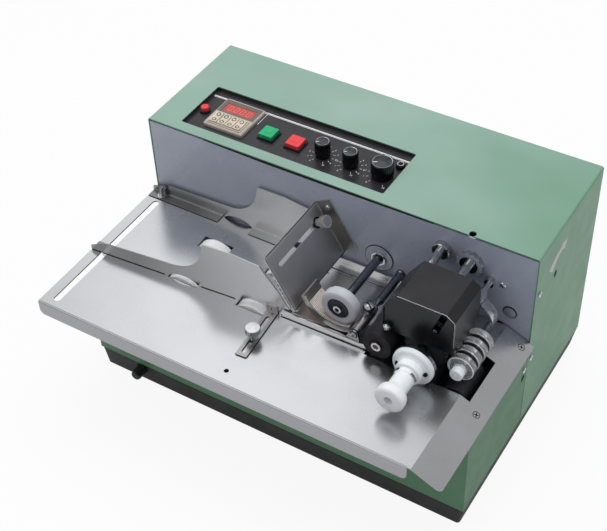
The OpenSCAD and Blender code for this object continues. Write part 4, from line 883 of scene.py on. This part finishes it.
# plug in the front plate: domed, painted with the plate, with a shade round its foot
plug = onAxis((421, 178), 0)
lathed("platePlug", plug, front,
       [(0, 2.06), (3.5, 1.76), (6.05, 0.75), (7.05, -0.45), (6.6, -0.45), (0, -0.4)],
       greyTopcoat, "root", "front_plate_grey")
lathed("plugShade", plug, front,
       [(6.5, 0.42), (7.1, -0.3), (7.5, -0.42), (6.5, -0.45), (6.5, 0.42)], shadeBlack, "root",
       "front_plate_grey")
# flange of the separating shaft: painted like the plate, painted shade round its edge, a bright
# bearing in its middle
flange = onAxis(wheel["axis"], 0)
lathed("flangePaint", flange, front, washer(8.9, 15.4, 0.5, 0.56), finish["front_plate_grey"],
       "root", "front_plate_grey")
lathed("flangeEdge", flange, front,
       [(15.5, 0.5), (15.5, 0.53), (16, 0.53), (16.05, -0.45), (15.5, -0.45), (15.5, 0.5)],
       shadeBlack, "root", "front_plate_grey")
lathed("flangeBearing", flange, front,
       [(6.1, 1.7), (6.1, 2.42), (6.4, 2.5), (7.9, 2.5), (8.85, 1.85), (8.85, 0.6), (8.6, 0.6),
        (8.6, 1.7), (6.1, 1.7)], cutAluminium, "root", "bright_steel")
# knurled nut of the cover's post: dull moulded grip, not bright metal
nut = {
    "axis": (377, 225),
    "inner": 9.6,
    "outer": 13.65,
    "notches": 12,
    "notchAt": 14.6,
    "notch": 2.45,
    "heights": (4.5, 4.75),
}
notchStep = 360 / nut["notches"]


def gripRadius(degrees):
    off = math.radians((degrees + notchStep / 2) % notchStep - notchStep / 2)
    side = nut["notchAt"] * math.sin(off)
    if abs(side) >= nut["notch"]:
        return nut["outer"]
    scoop = nut["notchAt"] * math.cos(off) - math.sqrt(nut["notch"] ** 2 - side ** 2)
    return min(nut["outer"], scoop)


grips = []
for k in range(nut["notches"]):
    angles = [notchStep * (k + i / 15) for i in range(16)]
    outer = [polar(gripRadius(a), math.radians(a)) for a in angles]
    inner = [polar(nut["inner"], math.radians(a)) for a in reversed(angles)]
    grips.append(outer + inner)
slabs("knurledNut", grips, *nut["heights"], onAxis(nut["axis"], 0), front,
      finish["front_plate_grey"], "root", "front_plate_grey")
# crosses in the heads of the small screws that face the front, black as painted shade in the recess
plateScrew = {"axis": (411.2, 210.4), "headY": -1.7}
crossHalf = 0.32
for name, screw, reach in (("earScrew", earScrew, 1.5), ("plateScrew", plateScrew, 1.4)):
    slabs(name + "Cross", screwCross(reach, crossHalf, 35), *film,
          onAxis(screw["axis"], screw["headY"]), front, shadeBlack, "root", "zinc_screw")
print("hood and plate dressed")

# plinth: a tapered steel tray that comes down round the feet, painted shade in the joint along its
# top
plinth = {
    "box": (0, -132, cabinet["width"], cabinet["depth"]),
    "low": 4.8,
    "high": 30,
    "taper": (4.2, 1.6),
    "sheet": 1.5,
    "joint": ((0.02, 29.1), (0.06, 29.1), (0.06, 30.1)),  # how far out, and the height
}


def plinthRing(insetX, insetY, z, radius):
    x0, y0, x1, y1 = plinth["box"]
    return roundedRing(x0 + insetX, y0 + insetY, x1 - insetX, y1 - insetY, z, radius)


joint = []
for out, z in plinth["joint"]:
    ring = plinthRing(-out, -out, z, 5)
    joint.append([(x, min(y, cabinet["depth"]), z) for x, y, z in ring])
walled("plinthJoint", joint, shadeBlack, "cabinet_green", closed=False)
tx, ty = plinth["taper"]
sheet, low, high = plinth["sheet"], plinth["low"], plinth["high"]
rings = [plinthRing(tx + 1, ty + 1, low, 3), plinthRing(tx, ty, low + 0.8, 3.5),
         plinthRing(0, 0, high, 5), plinthRing(sheet, sheet, high, 3.5),
         plinthRing(tx + sheet, ty + sheet, low + 2, 2)]
tray = walled("plinthTray", rings, finish["base_black"], "base_black")
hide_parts("base_tray")

# chute screws: crosses stamped in the countersunk heads, black as painted shade, and painted shade
# round each
chute = {"foldX": 420, "slope": math.radians(25), "screws": ((440.9, -11.4), (440.1, -109.1)),
         "cross": (2.3, 0.5)}
chuteTurn = Matrix.Rotation(chute["slope"], 3, "Y")
for i, (sx, sy) in enumerate(chute["screws"]):
    head = (sx, sy, tableTop - (sx - chute["foldX"]) * math.tan(chute["slope"]))
    slabs("chuteCross.%d" % (i + 1), screwCross(*chute["cross"], 20), *film, head, chuteTurn,
          shadeBlack, "root", "zinc_screw")
    lathed("chuteScrewEdge.%d" % (i + 1), head, chuteTurn, washer(3.1, 3.75, 0, 0.04), shadeBlack,
           "root", "zinc_screw", steps=32)
print("plinth and chute dressed")

# studio: an even room, a broad lamp overhead, two softboxes that only polished faces mirror
studio = {
    "diffuse": 0.44,
    "mirrorFront": 0.26,
    "mirrorBack": 0.43,
    "mirrorFade": (-0.5, 0.3),
    "softboxes": (  # direction, cosines of the outer and inner edge, strength
        ((-0.41, 0.54, 0.73), 0.968, 0.998, 1.0),
        ((-0.4, -0.56, 0.73), 0.93, 0.985, 0.85),
    ),
    "lamps": (  # name, place, target, size, power
        ("overhead", (0.1, 0.45, 3.0), (0, 0, 0.1), 2.2, 51),
        ("key", (-1.3, -1.2, 1.9), (0, 0, 0.15), 1.2, 8),
    ),
    "floorColour": "eeeeef",
    "floorReach": 40,
    "floorGlow": 0.91,
    "floorGlowMirrored": 0.2,
}
world = bpy.data.worlds.new("studio")
bpy.context.scene.world = world
world.use_nodes = True
sky = world.node_tree
background = sky.nodes["Background"]
background.inputs["Color"].default_value = (1, 1, 1, 1)
ray = addNode(sky, "ShaderNodeLightPath")
direction = addNode(sky, "ShaderNodeTexCoord").outputs["Generated"]
# the room is darker on the user's side, so polished faces turned there read as metal
depth = addNode(sky, "ShaderNodeSeparateXYZ", {}, {"Vector": direction}).outputs["Y"]
mirrored = addNode(sky, "ShaderNodeMapRange",
                   {"From Min": studio["mirrorFade"][0], "From Max": studio["mirrorFade"][1],
                    "To Min": studio["mirrorFront"], "To Max": studio["mirrorBack"],
                    "interpolation_type": "SMOOTHSTEP"}, {"Value": depth}).outputs[0]
for toward, outer, inner, adds in studio["softboxes"]:
    closeness = addNode(sky, "ShaderNodeVectorMath",
                        {"operation": "DOT_PRODUCT", 1: Vector(toward).normalized()},
                        {0: direction}).outputs["Value"]
    softbox = addNode(sky, "ShaderNodeMapRange",
                      {"From Min": outer, "From Max": inner, "To Min": 0.0, "To Max": adds,
                       "interpolation_type": "SMOOTHSTEP"}, {"Value": closeness}).outputs[0]
    mirrored = addNode(sky, "ShaderNodeMath", {"operation": "ADD"},
                       {0: mirrored, 1: softbox}).outputs[0]
level = addNode(sky, "ShaderNodeMix", {2: studio["diffuse"]},
                {0: ray.outputs["Is Glossy Ray"], 3: mirrored}).outputs[0]
for path in ("Is Camera Ray", "Is Transmission Ray"):
    level = addNode(sky, "ShaderNodeMix", {3: 1.0}, {0: ray.outputs[path], 2: level}).outputs[0]
sky.links.new(level, background.inputs["Strength"])
for name, place, target, size, power in studio["lamps"]:
    lampData = bpy.data.lights.new(name, "AREA")
    lampData.shape = "DISK"
    lampData.size = size
    lampData.energy = power
    lamp = bpy.data.objects.new(name, lampData)
    lamp.location = place
    lamp.rotation_euler = (Vector(target) - Vector(place)).to_track_quat("-Z", "Y").to_euler()
    lamp.visible_glossy = False
    bpy.context.scene.collection.objects.link(lamp)

floorMesh = bpy.data.meshes.new("floor")
reach = studio["floorReach"]
floorMesh.from_pydata([(x, y, 0) for x, y in bar(-reach, -reach, reach, reach)], [],
                      [(0, 1, 2, 3)])
floor = bpy.data.objects.new("floor", floorMesh)
bpy.context.scene.collection.objects.link(floor)
floorMaterial, tree, shader, place = startMaterial("paleFloor", Roughness=1.0)
shader.inputs["Base Color"].default_value = linear(studio["floorColour"])
shader.inputs["Specular IOR Level"].default_value = 0
# seen by the camera, the floor is lifted towards white, and still keeps a soft shadow
ray = addNode(tree, "ShaderNodeLightPath")
amount = addNode(tree, "ShaderNodeMath",
                 {"operation": "MULTIPLY", 1: studio["floorGlowMirrored"]},
                 {0: ray.outputs["Is Glossy Ray"]}).outputs[0]
for path in ("Is Camera Ray", "Is Transmission Ray"):
    amount = addNode(tree, "ShaderNodeMath",
                     {"operation": "MULTIPLY_ADD", 1: studio["floorGlow"]},
                     {0: ray.outputs[path], 2: amount}).outputs[0]
glow = addNode(tree, "ShaderNodeEmission", {"Color": (1, 1, 1, 1), "Strength": 1.0})
lifted = addNode(tree, "ShaderNodeMixShader", {},
                 {0: amount, 1: shader.outputs[0], 2: glow.outputs[0]})
tree.links.new(lifted.outputs[0], tree.nodes["Material Output"].inputs["Surface"])
floorMesh.materials.append(floorMaterial)
bpy.context.scene.view_settings.view_transform = "Standard"
print("studio ready")
